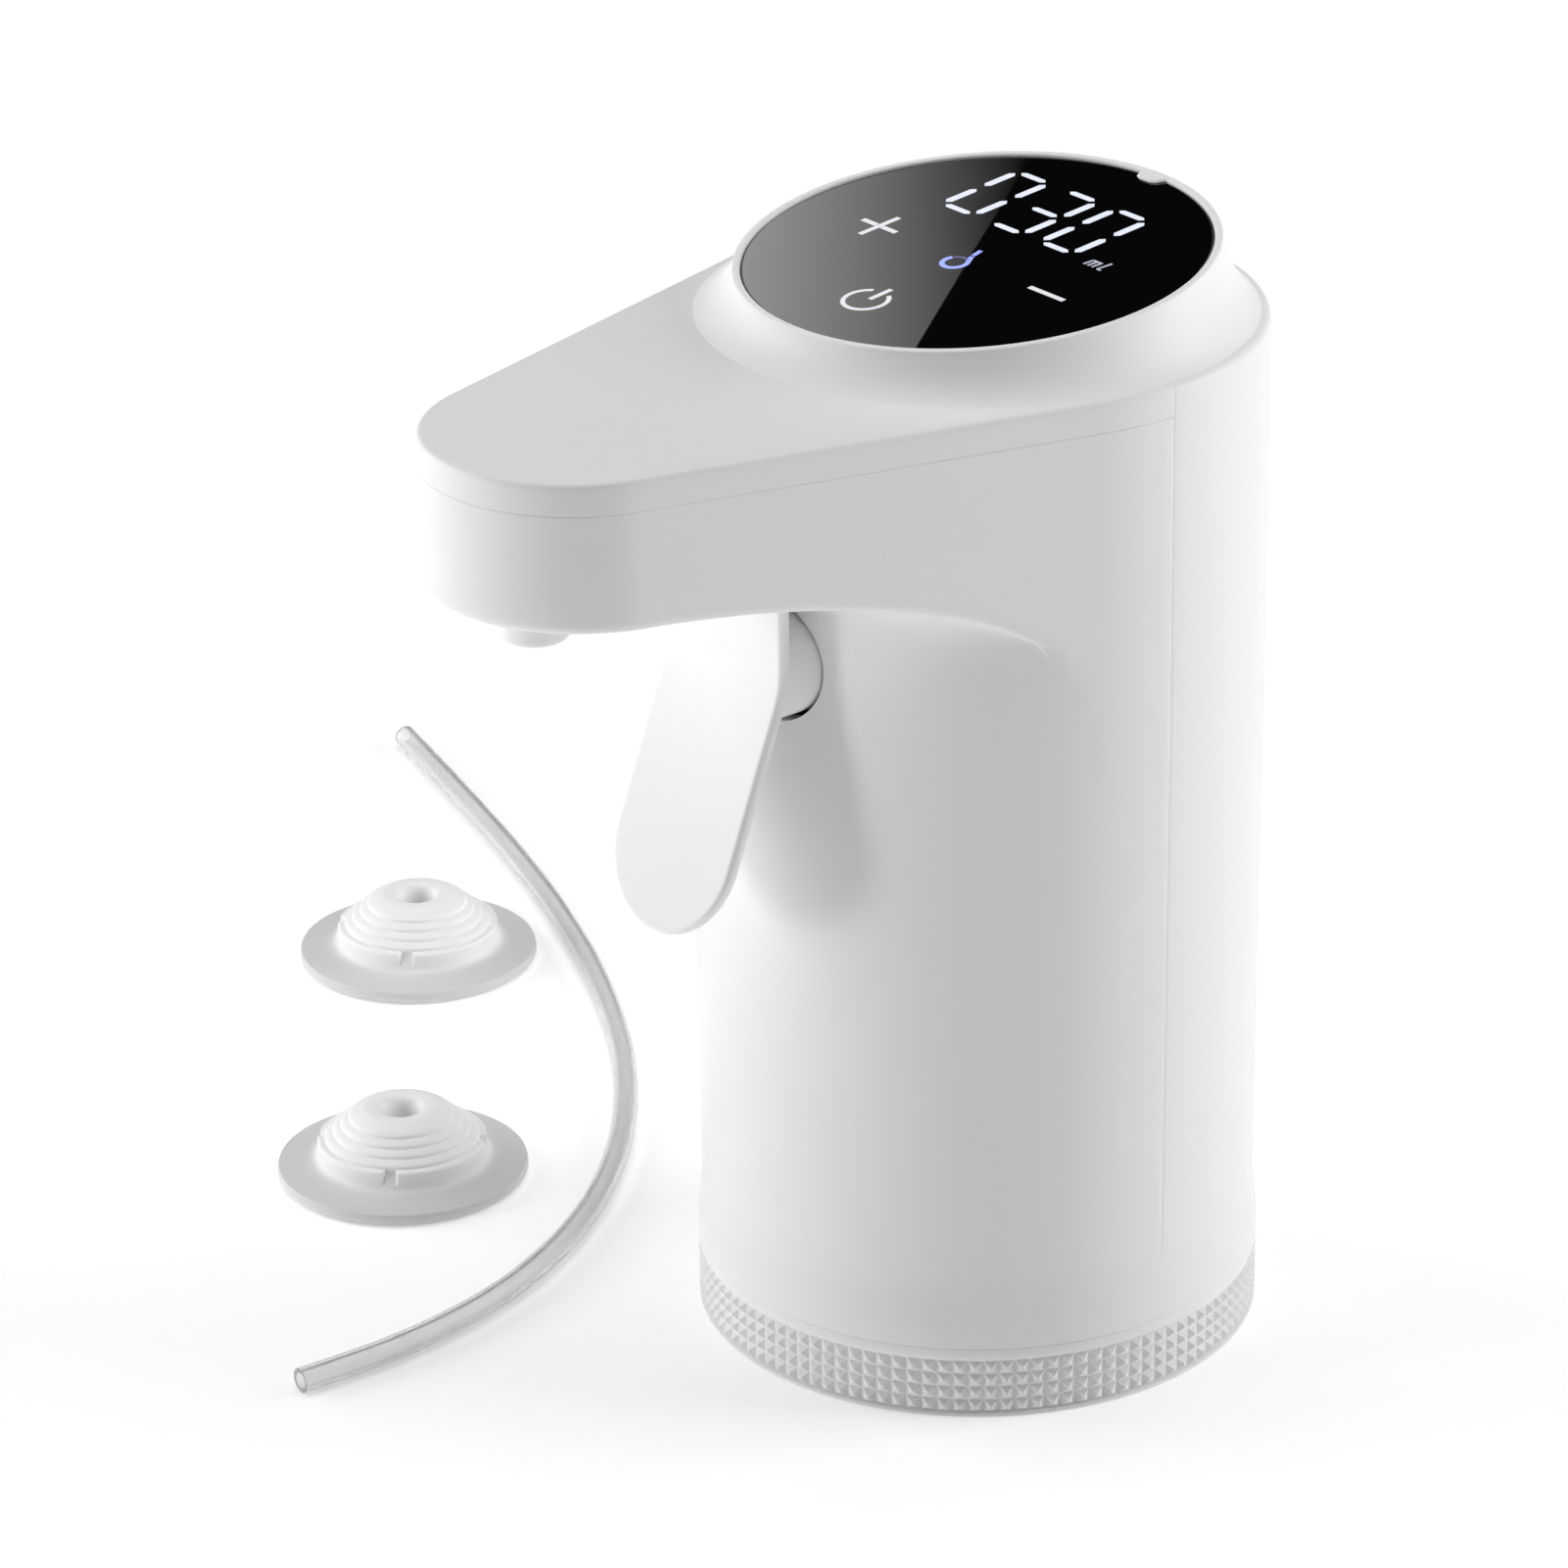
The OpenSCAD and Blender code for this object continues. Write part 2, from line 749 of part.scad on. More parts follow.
module shaft_seal() {
    color("dimgray")
        translate([-gear_x, pump_y, 0]) tube_z(gland_r, shaft_r + seat_gap, motor_z - gland_h, motor_z - seat_gap);
}

// Tooth outline as polar points about the tooth's middle
module gear(teeth, bore, phase) {
    pitch = 360 / teeth;
    outline = [for (i = [0:teeth - 1])
        each [for (p = [[gear_root, -0.3], [gear_r, -0.19], [gear_out, -0.08],
            [gear_out, 0.08], [gear_r, 0.19], [gear_root, 0.3]])
            let (a = pitch * (i + p[1]) + phase) [p[0] * cos(a), p[0] * sin(a)]]];
    difference() {
        translate([0, 0, gear_z]) linear_extrude(gear_t) polygon(outline);
        rod_z(bore, gear_z - 1, gear_z + gear_t + 1);
    }
}

module drive_gear() {
    color("goldenrod") translate([-gear_x, pump_y, 0]) gear(gear_teeth, shaft_r + eps, 0);
}

module idler_gear() {
    color("goldenrod")
        translate([gear_x, pump_y, 0]) gear(gear_teeth, shaft_r + run_gap, 180 + 180 / gear_teeth);
}

module idler_pin() {
    color("silver") translate([gear_x, pump_y, 0]) rod_z(shaft_r, pump_z + 0.9, pump_top + pin_sink);
}

module pump_screws() {
    color("silver")
        for (at = pump_screws_at)
            translate(at) {
                rod_z(screw_r - eps, frame_z + frame_t + 1, motor_z + head_in);
                rod_z(head_r, motor_z, motor_z + head_h);
            }
}

module motor() {
    color("silver")
        translate([-gear_x, pump_y, 0])
            difference() {
                union() {
                    rod_z(motor_r, motor_z, motor_z + motor_len);
                    rod_z(hub_r, motor_z + motor_len - 1, motor_z + motor_len + motor_boss);
                }
                rod_z(shaft_r + run_gap, motor_z - 1, motor_z + motor_len - 2);
            }
}

module motor_shaft() {
    color("gray") translate([-gear_x, pump_y, 0]) rod_z(shaft_r, pump_z + 1, motor_z + motor_len - 3);
}

module motor_clamp() {
    color("dimgray")
        difference() {
            union() {
                translate([-gear_x, pump_y, 0]) rod_z(motor_r + clamp_t, clamp_z, clamp_z + clamp_h);
                for (side = [-1, 1])
                    translate([-gear_x + (side > 0 ? 0 : -motor_r - clamp_t - clamp_ear), spine_y - clamp_foot, clamp_z])
                        cube([motor_r + clamp_t + clamp_ear, clamp_foot, clamp_h]);
            }
            translate([-gear_x, pump_y, 0]) rod_z(motor_r + seat_gap, clamp_z - 1, clamp_z + clamp_h + 1);
            translate([-far, spine_y - seat_gap, 0]) cube([2 * far, far, 2 * far]);
            for (side = [-1, 1])
                translate([clamp_x(side), 0, clamp_z + clamp_h / 2]) rod_y(screw_r + seat_gap, -far, far);
        }
}

module clamp_screws() {
    color("silver")
        for (side = [-1, 1])
            translate([clamp_x(side), 0, clamp_z + clamp_h / 2]) {
                rod_y(screw_r - eps, spine_y - clamp_foot - head_in, spine_y + spine_t);
                rod_y(head_r, spine_y - clamp_foot - head_h, spine_y - clamp_foot);
            }
}

// Boards and switch

module main_board() {
    color("darkgreen")
        difference() {
            union() {
                translate([-main_w / 2, mount_y - board_t, main_z]) cube([main_w, board_t, main_top - main_z]);
                translate([-driver_w / 2, mount_y - eps, main_z + driver_up]) cube([driver_w, driver_t, driver_w]);
                translate([-coil_x, mount_y - eps, main_z + coil_up]) cube([coil_w, coil_t, coil_h]);
            }
            for (x = [-post_x, post_x])
                for (z = post_zs)
                    translate([x, 0, z]) rod_y(screw_r + seat_gap, -far, far);
        }
}

module board_screws() {
    color("silver")
        for (x = [-post_x, post_x])
            for (z = post_zs)
                translate([x, 0, z]) {
                    rod_y(screw_r - eps, mount_y - board_t - head_in, mount_y + post_screw);
                    rod_y(head_r, mount_y - board_t - head_h, mount_y - board_t);
                }
}

module switch_body() {
    color("black")
        difference() {
            translate([-switch_size[0] / 2, switch_y, boss_z - switch_size[2] / 2]) cube(switch_size);
            translate([0, 0, boss_z])
                rod_y(plunger_r + run_gap, switch_y - 1, switch_y + plunger_in + plunger_travel + seat_gap);
        }
}

module switch_plunger() {
    color("crimson")
        translate([0, 0, boss_z]) rod_y(plunger_r, boss_back + touch_gap, switch_y + plunger_in);
}

// Trigger

module trigger() {
    skew = 2 * boss_h;
    color("white")
        difference() {
            union() {
                paddle();
                intersection() {
                    translate([0, 0, boss_z + boss_up]) oval(paddle_w, boss_h, paddle_y - 6, boss_back);
                    slab_x([[paddle_y + paddle_t / 2, paddle_top], [paddle_y + paddle_t / 2, bend_z],
                        [paddle_y + paddle_t / 2 - skew * tan(paddle_lean), bend_z - skew],
                        [0, bend_z - skew], [0, paddle_top]], 2 * paddle_w);
                }
                slab_x([[paddle_y, paddle_top - 4], [paddle_y, hinge_z + web_h / 2],
                    [hinge_y, hinge_z + web_h / 2], [hinge_y, hinge_z - web_h / 2],
                    [paddle_y + neck_t, hinge_z - web_h / 2], [paddle_y + neck_t, paddle_top - 4]], hub_w);
                translate([0, hinge_y, hinge_z]) rod_x(hub_r, hub_w);
            }
            translate([0, hinge_y, hinge_z]) rod_x(pivot_r + run_gap, 2 * hub_w);
        }
}

// Upright plate that leans out below its bend and ends round
module paddle() {
    down = [-sin(paddle_lean), -cos(paddle_lean)];
    back = [cos(paddle_lean), -sin(paddle_lean)];
    reach = (paddle_len + paddle_w) * down;
    translate([0, paddle_y, bend_z])
        difference() {
            slab_x([[0, paddle_top - bend_z], [0, 0], reach, reach + paddle_t * back,
                [paddle_t, -paddle_t * tan(paddle_lean / 2)], [paddle_t, paddle_top - bend_z]], paddle_w);
            rotate([90 - paddle_lean, 0, 0])
                translate([0, 0, -2 * paddle_t])
                    difference() {
                        translate([-paddle_w, -paddle_len - 2 * paddle_w, 0])
                            cube([2 * paddle_w, 2 * paddle_w, 4 * paddle_t]);
                        translate([0, -paddle_len, -1]) cylinder(h = 4 * paddle_t + 2, r = paddle_w / 2 + eps);
                    }
        }
}

module trigger_pin() {
    color("silver")
        translate([0, hinge_y, hinge_z]) rod_x(pivot_r, hub_w + 2 * move_gap + 2 * bracket_t + 0.6);
}

// Helix of round wire between the boss and the board
module trigger_spring() {
    y0 = boss_back + wire_r + seat_gap;
    y1 = mount_y - board_t - wire_r - seat_gap;
    count = spring_turns * spring_rings;
    points = [for (i = [0:count]) for (s = [0:wire_sides - 1])
        let (th = 360 * i / spring_rings, ph = 360 * s / wire_sides)
        let (r = spring_r + wire_r * cos(ph))
        [r * cos(th), y0 + (y1 - y0) * i / count + wire_r * sin(ph), spring_z + r * sin(th)]];
    sides = [for (i = [0:count - 1]) for (s = [0:wire_sides - 1])
        let (a = i * wire_sides + s, b = i * wire_sides + (s + 1) % wire_sides)
        each [[a, b, b + wire_sides], [a, b + wire_sides, a + wire_sides]]];
    color("silver")
        polyhedron(points, concat(sides, [[for (s = [0:wire_sides - 1]) wire_sides - 1 - s],
            [for (s = [0:wire_sides - 1]) count * wire_sides + s]]), convexity = 10);
}

// Outlet hose: up beside the motor, then over the hinge to the spout

module hose_run(length) {
    tube_z(hose_r, hose_bore_r, 0, length);
}

module hose_bend(angle) {
    rotate_extrude(angle = angle)
        translate([bend_r, 0])
            difference() {
                circle(hose_r);
                circle(hose_bore_r);
            }
}

module outlet_hose() {
    color("gainsboro")
        translate(outlet_at)
            rotate(-turn) {
                translate([0, 0, motor_z + seat_gap]) hose_run(hose_z - bend_r - motor_z - seat_gap);
                translate([0, -bend_r, hose_z - bend_r]) rotate([90, 0, 90]) hose_bend(90);
                translate([0, -bend_r, hose_z])
                    rotate([90, 0, 0]) hose_run(run_len - bend_r - spout_stem - seat_gap);
            }
}

module nozzle() {
    color("white")
        translate([0, nozzle_y, 0])
            difference() {
                union() {
                    rod_z(nozzle_r, nozzle_z, hose_z + nozzle_cap);
                    rod_z(nozzle_r + nozzle_flange, arm_z + wall + seat_gap, hose_z - hose_r - seat_gap);
                    translate([0, 0, hose_z])
                        rotate([-90, 0, -turn]) cylinder(h = spout_stem + barb_len, r = hose_bore_r - run_gap);
                }
                rod_z(nozzle_bore, nozzle_z - 1, hose_z);
                translate([0, 0, hose_z])
                    rotate([-90, 0, -turn]) cylinder(h = spout_stem + barb_len + 1, r = port_r);
            }
}

// Charging

module charge_board() {
    color("darkgreen")
        translate([-charge_size[0] / 2, port_y - 6 - charge_size[1], port_z - port_size[2] / 2 - board_t])
            cube([charge_size[0], charge_size[1], board_t - seat_gap]);
}

module charge_socket() {
    color("silver")
        translate([0, 0, port_z])
            difference() {
                oval(port_size[0], port_size[2], port_y - port_size[1], port_y);
                oval(port_size[0] - 2 * port_wall, port_size[2] - 2 * port_wall, port_y - port_size[1] + 1, port_y + 1);
            }
}

// Loose pieces

module stopper() {
    rib = plug_len / plug_ribs;
    taper = (plug_r - plug_tip_r) / plug_ribs;
    step_z = 4.4;
    plug_z = step_z + plug_len + plug_crown;
    color("white")
        difference() {
            rotate_extrude()
                polygon(concat([[0, 0.9], [flange_r - 3, 0.9], [flange_r - 2.4, 0], [flange_r - 0.6, 0],
                    [flange_r, 0.8], [flange_r - 0.2, 1.5], [step_r + 0.4, 2.2], [step_r, 2.6], [step_r, step_z]],
                    [for (i = [0:plug_ribs - 1]) each [[plug_r - taper * i, step_z + rib * i],
                        [plug_r - taper * i, step_z + rib * (i + 0.4)],
                        [plug_r - taper * (i + 0.8), step_z + rib * (i + 1)]]],
                    [[plug_tip_r - 1.4, plug_z], [0, plug_z]]));
            rod_z(tube_r + seat_gap, -1, plug_z + 1);
            for (i = [0:3])
                rotate(90 * i + 45) translate([(step_r + plug_r) / 2, -0.7, 3]) cube([2, 1.4, step_z]);
        }
}

module stopper_a() {
    translate(stopper_a_at) stopper();
}

module stopper_b() {
    translate(stopper_b_at) stopper();
}

// Tube swept along its route on the floor
function along(i) =
    let (n = len(tube_route) - 1, a = tube_route[max(i - 1, 0)], b = tube_route[min(i + 1, n)])
    (b - a) / norm(b - a);

module suction_tube() {
    n = len(tube_route) - 1;
    points = [for (i = [0:n]) for (s = [0:tube_sides - 1])
        let (d = along(i), ph = 360 * (s + 0.5) / tube_sides)
        [tube_route[i][0] + d[1] * tube_r * cos(ph), tube_route[i][1] - d[0] * tube_r * cos(ph),
         tube_r * (cos(180 / tube_sides) + sin(ph))]];
    sides = [for (i = [0:n - 1]) for (s = [0:tube_sides - 1])
        let (a = i * tube_sides + s, b = i * tube_sides + (s + 1) % tube_sides)
        each [[a, b + tube_sides, b], [a, a + tube_sides, b + tube_sides]]];
    color("ghostwhite")
        polyhedron(points, concat(sides, [[for (s = [0:tube_sides - 1]) s],
            [for (s = [0:tube_sides - 1]) n * tube_sides + tube_sides - 1 - s]]), convexity = 6);
}

front_shell();
rear_shell();
top_cover();
display_bezel();
display_panel();
light_guide();
display_board();
foot_collar();
lock_ring();
socket_seal();
inlet_fitting();
inlet_hose();
inner_frame();
foot_screws();
pump_housing();
pump_cover();
shaft_seal();
drive_gear();
idler_gear();
idler_pin();
pump_screws();
motor();
motor_shaft();
motor_clamp();
clamp_screws();
battery_cell();
main_board();
board_screws();
switch_body();
switch_plunger();
trigger();
trigger_pin();
trigger_spring();
outlet_hose();
nozzle();
charge_board();
charge_socket();
stopper_a();
stopper_b();
suction_tube();
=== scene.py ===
import json
import math
import bpy
import bmesh
import numpy as np
from mathutils import Matrix, Vector


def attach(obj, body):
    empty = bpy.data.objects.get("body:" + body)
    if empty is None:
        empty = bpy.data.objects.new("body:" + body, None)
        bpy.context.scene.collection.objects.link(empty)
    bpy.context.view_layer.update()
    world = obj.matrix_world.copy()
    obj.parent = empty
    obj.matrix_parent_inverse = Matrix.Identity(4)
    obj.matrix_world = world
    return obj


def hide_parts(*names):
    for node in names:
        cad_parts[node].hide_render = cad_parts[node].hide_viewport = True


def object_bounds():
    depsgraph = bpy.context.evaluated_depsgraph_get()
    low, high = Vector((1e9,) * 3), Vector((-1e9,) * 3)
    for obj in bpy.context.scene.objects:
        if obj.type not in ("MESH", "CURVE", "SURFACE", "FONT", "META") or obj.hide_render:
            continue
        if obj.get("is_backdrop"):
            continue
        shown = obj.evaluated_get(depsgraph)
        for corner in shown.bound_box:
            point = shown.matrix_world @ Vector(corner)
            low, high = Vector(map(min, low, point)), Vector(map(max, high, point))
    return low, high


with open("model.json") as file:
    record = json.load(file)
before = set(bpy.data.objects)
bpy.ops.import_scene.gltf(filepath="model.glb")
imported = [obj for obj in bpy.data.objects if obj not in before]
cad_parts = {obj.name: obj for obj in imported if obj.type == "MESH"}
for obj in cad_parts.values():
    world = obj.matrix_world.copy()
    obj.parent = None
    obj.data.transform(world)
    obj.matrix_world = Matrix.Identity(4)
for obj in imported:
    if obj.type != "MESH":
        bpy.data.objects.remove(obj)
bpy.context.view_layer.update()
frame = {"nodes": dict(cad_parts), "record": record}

# Camera: three-quarter view from the spout's side, slightly above, with a long lens.
# The body's axis stands right of the picture's middle, so the lens is shifted.
view_a, view_e = math.radians(49.296), math.radians(24.032)
view_back = Vector((math.sin(view_a) * math.cos(view_e), -math.cos(view_a) * math.cos(view_e), math.sin(view_e)))
view_right = Vector((math.cos(view_a), math.sin(view_a), 0))
view_up = view_back.cross(view_right)
camera = bpy.data.objects.new("camera", bpy.data.cameras.new("camera"))
bpy.context.scene.collection.objects.link(camera)
camera.data.lens = 169.62
camera.data.sensor_width = 36
camera.data.shift_x = -0.1232
camera.data.clip_start = 0.02
camera.data.clip_end = 20
place = Vector((0, 0, 0.059072)) + view_back * 0.774637
camera.matrix_world = Matrix.Translation(place) @ Matrix((view_right, view_up, view_back)).transposed().to_4x4()
bpy.context.scene.camera = camera

# Suction tube: a loose length of clear silicone tube with open ends, extruded and cut.
# It lies in an easy curve on the floor beside the head.
MM = 0.001


def mesh_piece(name, points, faces, material, smooth=True):
    """A mesh object at the origin from points in millimetres, doubles merged and normals outwards."""
    mesh = bpy.data.meshes.new(name)
    mesh.from_pydata([tuple(float(c) * MM for c in p) for p in points], [], faces)
    piece = bpy.data.objects.new(name, mesh)
    bpy.context.scene.collection.objects.link(piece)
    work = bmesh.new()
    work.from_mesh(mesh)
    bmesh.ops.remove_doubles(work, verts=work.verts, dist=3e-6)
    bmesh.ops.dissolve_degenerate(work, edges=work.edges, dist=1e-7)
    bmesh.ops.recalc_face_normals(work, faces=work.faces)
    work.to_mesh(mesh)
    work.free()
    mesh.materials.append(material)
    if smooth:
        mesh.shade_smooth()
        mesh.set_sharp_from_angle(angle=math.radians(38))
    return piece


def new_material(name):
    """An empty node material with its principled shader, and a maker of linked nodes."""
    material = bpy.data.materials.new(name)
    material.use_nodes = True
    tree = material.node_tree
    shader = tree.nodes["Principled BSDF"]

    def node(kind, **settings):
        made = tree.nodes.new(kind)
        for key, value in settings.items():
            setattr(made, key, value)
        return made

    return material, tree, shader, node


def uneven(tree, node, target, low, high, scale, detail=2):
    """Drives a socket between two values by a noise in the piece's own coordinates, and returns the noise."""
    where = node("ShaderNodeTexCoord")
    noise = node("ShaderNodeTexNoise")
    noise.inputs["Scale"].default_value = scale
    noise.inputs["Detail"].default_value = detail
    tree.links.new(where.outputs["Object"], noise.inputs["Vector"])
    span = node("ShaderNodeMapRange")
    span.inputs["To Min"].default_value = low
    span.inputs["To Max"].default_value = high
    tree.links.new(noise.outputs["Fac"], span.inputs["Value"])
    tree.links.new(span.outputs["Result"], target)
    return noise


def spline(points, steps):
    """Smooth line close to the points, as a cubic B-spline that keeps both ends."""
    p = [np.array(q, float) for q in points]
    p = [2 * p[0] - p[1]] + p + [2 * p[-1] - p[-2]]
    line = []
    for i in range(1, len(p) - 2):
        for k in range(steps):
            t = k / steps
            line.append(((1 - t) ** 3 * p[i - 1] + (3 * t ** 3 - 6 * t * t + 4) * p[i]
                         + (-3 * t ** 3 + 3 * t * t + 3 * t + 1) * p[i + 1] + t ** 3 * p[i + 2]) / 6)
    line.append(p[-2])
    return np.array(line)


tube_route = [(-156.2, 39.5), (-148.3, 37.2), (-140.2, 34.8), (-132, 32.3), (-123.6, 29.7), (-115.1, 26.8),
              (-106.7, 23.8), (-98.3, 20.4), (-90, 16.8), (-81.9, 12.8), (-74.1, 8.5), (-66.5, 3.8), (-59.4, -1.4),
              (-52.6, -7), (-46.4, -13.2), (-40.9, -19.8), (-36.1, -26.9), (-32.2, -34.5), (-29.3, -42.5),
              (-27.6, -51.1), (-27, -60.2), (-27.8, -69.8)]
tube_r, tube_bore = 1.38, 0.85
tube_line = np.array([(x, y, tube_r) for x, y in spline(tube_route, 6)])
tube_points, tube_sides = [], 24
for i, at in enumerate(tube_line):
    way = tube_line[min(i + 1, len(tube_line) - 1)] - tube_line[max(i - 1, 0)]
    way /= np.linalg.norm(way)
    side = np.array([way[1], -way[0], 0])
    ring = [(r * math.cos(t), r * math.sin(t)) for r, turn in ((tube_r, 1), (tube_bore, -1))
            for t in [turn * 2 * math.pi * k / tube_sides for k in range(tube_sides)]]
    tube_points.append([at + side * c + np.array([0, 0, s]) for c, s in ring])
last, both = len(tube_points) - 1, 2 * tube_sides
tube_faces = []
for i in range(last):
    for j in range(tube_sides):
        for base in (both * i, both * i + tube_sides):
            a, b = base + j, base + (j + 1) % tube_sides
            tube_faces.append((a, b, b + both, a + both))
for base in (0, both * last):
    for j in range(tube_sides):
        k = (j + 1) % tube_sides
        inner = [base + tube_sides + (tube_sides - m) % tube_sides for m in (j, k)]
        tube_faces.append((base + j, base + k, inner[1], inner[0]))
clear, tree, shader, node = new_material("clear_tube")
uneven(tree, node, shader.inputs["Roughness"], 0.13, 0.19, 220)
shader.inputs["Base Color"].default_value = (0.97, 0.972, 0.975, 1)
shader.inputs["Transmission Weight"].default_value = 0.82
shader.inputs["IOR"].default_value = 1.41
tube = mesh_piece("suction_tube_skin", [p for ring in tube_points for p in ring], tube_faces, clear)
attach(tube, "suction_tube")
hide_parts("suction_tube")

# Body shells: two moulded halves of white satin plastic that clip together at the sides.
# The front half carries the arm over the spout, and its underside rises in an arch.
BODY_R, FOOT_R, NOSE_R, REACH = 30.0, 29.5, 15.8, 51.6
FOOT_Z, ARCH_Z, ARM_Z, SEAM_Z, TOP_Z = 15.425, 78.4, 96.6, 109.1, 112.4
BETA = math.asin((BODY_R - NOSE_R) / REACH)
ARCH_Y = -REACH - NOSE_R * math.sin(BETA)
ARCH_A = -BODY_R * math.sin(BETA) - ARCH_Y
PSI_NOSE = math.atan2(NOSE_R * math.cos(BETA), REACH + NOSE_R * math.sin(BETA))
PSI_BODY = math.pi / 2 - BETA
WALL, OPENING_R, ARCH_ROUND, ARM_ROUND = 2.2, 25.2, 5.0, 1.4
SEAM_GAP, SEAM_BEVEL, SPLIT, GROOVE_D, GROOVE_W = 0.012, 0.04, 0.006, 0.03, 0.1


def moulded(name, colour, rough, grain=0.04, spread=0.03, coat=0.0):
    """Moulded plastic: a fine spark-eroded grain, a little uneven gloss and a slight drift of tone."""
    material, tree, shader, node = new_material(name)
    bump = node("ShaderNodeBump")
    bump.inputs["Strength"].default_value = grain
    bump.inputs["Distance"].default_value = 0.0001
    uneven(tree, node, bump.inputs["Height"], 0, 1, 1500, 3)
    tree.links.new(bump.outputs["Normal"], shader.inputs["Normal"])
    broad = uneven(tree, node, shader.inputs["Roughness"], rough - spread, rough + spread, 45, 4)
    shader.inputs["Specular IOR Level"].default_value = 0.2
    tone = node("ShaderNodeMix", data_type="RGBA")
    tone.inputs[6].default_value = (*[c * 0.985 for c in colour], 1)
    tone.inputs[7].default_value = (*colour, 1)
    tree.links.new(broad.outputs["Fac"], tone.inputs[0])
    tree.links.new(tone.outputs[2], shader.inputs["Base Color"])
    shader.inputs["Coat Weight"].default_value = coat
    shader.inputs["Coat Roughness"].default_value = 0.12
    return material


white = moulded("white_plastic", (0.8, 0.8, 0.8), 0.36)


def plan_r(psi):
    """Distance from the body's axis to the outline, at an angle from straight ahead."""
    turn = abs(psi)
    if turn < PSI_NOSE:
        return REACH * math.cos(turn) + math.sqrt(NOSE_R ** 2 - (REACH * math.sin(turn)) ** 2)
    if turn < PSI_BODY:
        return BODY_R / math.sin(turn + BETA)
    return BODY_R


def body_r(z):
    return FOOT_R + (BODY_R - FOOT_R) * min(1, max(0, (z - FOOT_Z) / (ARCH_Z - FOOT_Z)))


def arch_z(psi, r):
    """Height of the arm's underside."""
    u = min(1, max(0, (-r * math.cos(psi) - ARCH_Y) / ARCH_A))
    return ARCH_Z + (ARM_Z - ARCH_Z) * math.sqrt(1 - u * u)


def bezier(a, b, c, count):
    """Points of the rounding of corner b, from a to c."""
    line = []
    for k in range(count):
        t = k / (count - 1)
        line.append(tuple((1 - t) ** 2 * p + 2 * t * (1 - t) * q + t * t * s for p, q, s in zip(a, b, c)))
    return line


def at_angle(psi, r, z):
    return (r * math.sin(psi), -r * math.cos(psi), z)


def grid_faces(rows, columns, loop_rows=False, loop_columns=False):
    """Quads of a grid whose points run row by row."""
    faces = []
    for i in range(rows if loop_rows else rows - 1):
        for j in range(columns if loop_columns else columns - 1):
            a, b = i * columns + j, i * columns + (j + 1) % columns
            c, d = ((i + 1) % rows) * columns + (j + 1) % columns, ((i + 1) % rows) * columns + j
            faces.append((a, b, c, d))
    return faces


def sweep(name, angles, section, material, closed=False):
    """A solid from one closed section per angle, capped at its two ends unless it closes on itself."""
    sections = [section(psi) for psi in angles]
    points = [at_angle(psi, r, z) for psi, line in zip(angles, sections) for r, z in line]
    n = len(sections[0])
    faces = grid_faces(len(angles), n, closed, True)
    if not closed:
        faces += [tuple(range(n)), tuple(range((len(angles) - 1) * n, len(angles) * n))]
    return mesh_piece(name, points, faces, material)


def ease(t):
    """A smooth rise from 0 to 1."""
    t = min(1, max(0, t))
    return t * t * (3 - 2 * t)


def front_section(psi):
    outer, corner = plan_r(psi), min(abs(psi), PSI_BODY)
    wide = outer - BODY_R
    dip = side_groove(psi, outer)
    inner_z, outer_z = arch_z(corner, BODY_R), arch_z(corner, outer)
    inside = min(ARCH_ROUND, 0.45 * wide)
    outside = min(ARM_ROUND, 0.45 * wide)
    low, high = inner_z - ARCH_ROUND, outer_z + ARM_ROUND
    line = [(body_r(z) - dip, z) for z in np.linspace(FOOT_Z, low, 22)[:-1]]
    start, end = BODY_R + inside, outer - outside
    shelf = bezier((BODY_R, low), (BODY_R, inner_z), (start, arch_z(corner, start)), 9)
    shelf += [(r, arch_z(corner, r)) for r in np.linspace(start, end, 18)[1:]]
    shelf += bezier((end, arch_z(corner, end)), (outer, outer_z), (outer, high), 7)[1:]
    crisp = ease(wide / 0.9)
    for k, (r, z) in enumerate(shelf):
        t = k / (len(shelf) - 1)
        line.append((crisp * r + (1 - crisp) * (BODY_R + wide * ease(t)) - dip,
                     crisp * z + (1 - crisp) * (low + (high - low) * t)))
    line += [(outer - dip, z) for z in (*np.linspace(high, SEAM_Z - 0.1, 9)[1:], SEAM_Z - SEAM_BEVEL)]
    line += [(outer - dip - SEAM_BEVEL, SEAM_Z), (outer - WALL, SEAM_Z)]
    line += [(outer - WALL, outer_z + WALL + 0.5)]
    line += [(r, min(arch_z(corner, r + WALL) + WALL, outer_z + WALL))
             for r in np.linspace(outer - WALL, BODY_R - WALL, 8)[1:]]
    line += [(body_r(z) - WALL, z) for z in np.linspace(inner_z, FOOT_Z, 6)]
    return line


def side_groove(psi, r):
    """Depth of the fine V that parts the two halves."""
    away = abs(r * math.cos(psi))
    return GROOVE_D * max(0, 1 - (away - SPLIT) / GROOVE_W)


def join_angles(low, high, count, extra):
    """Evenly spread angles with some more where the outline changes."""
    return sorted(set([round(v, 6) for v in np.linspace(low, high, count)] + [round(v, 6) for v in extra]))


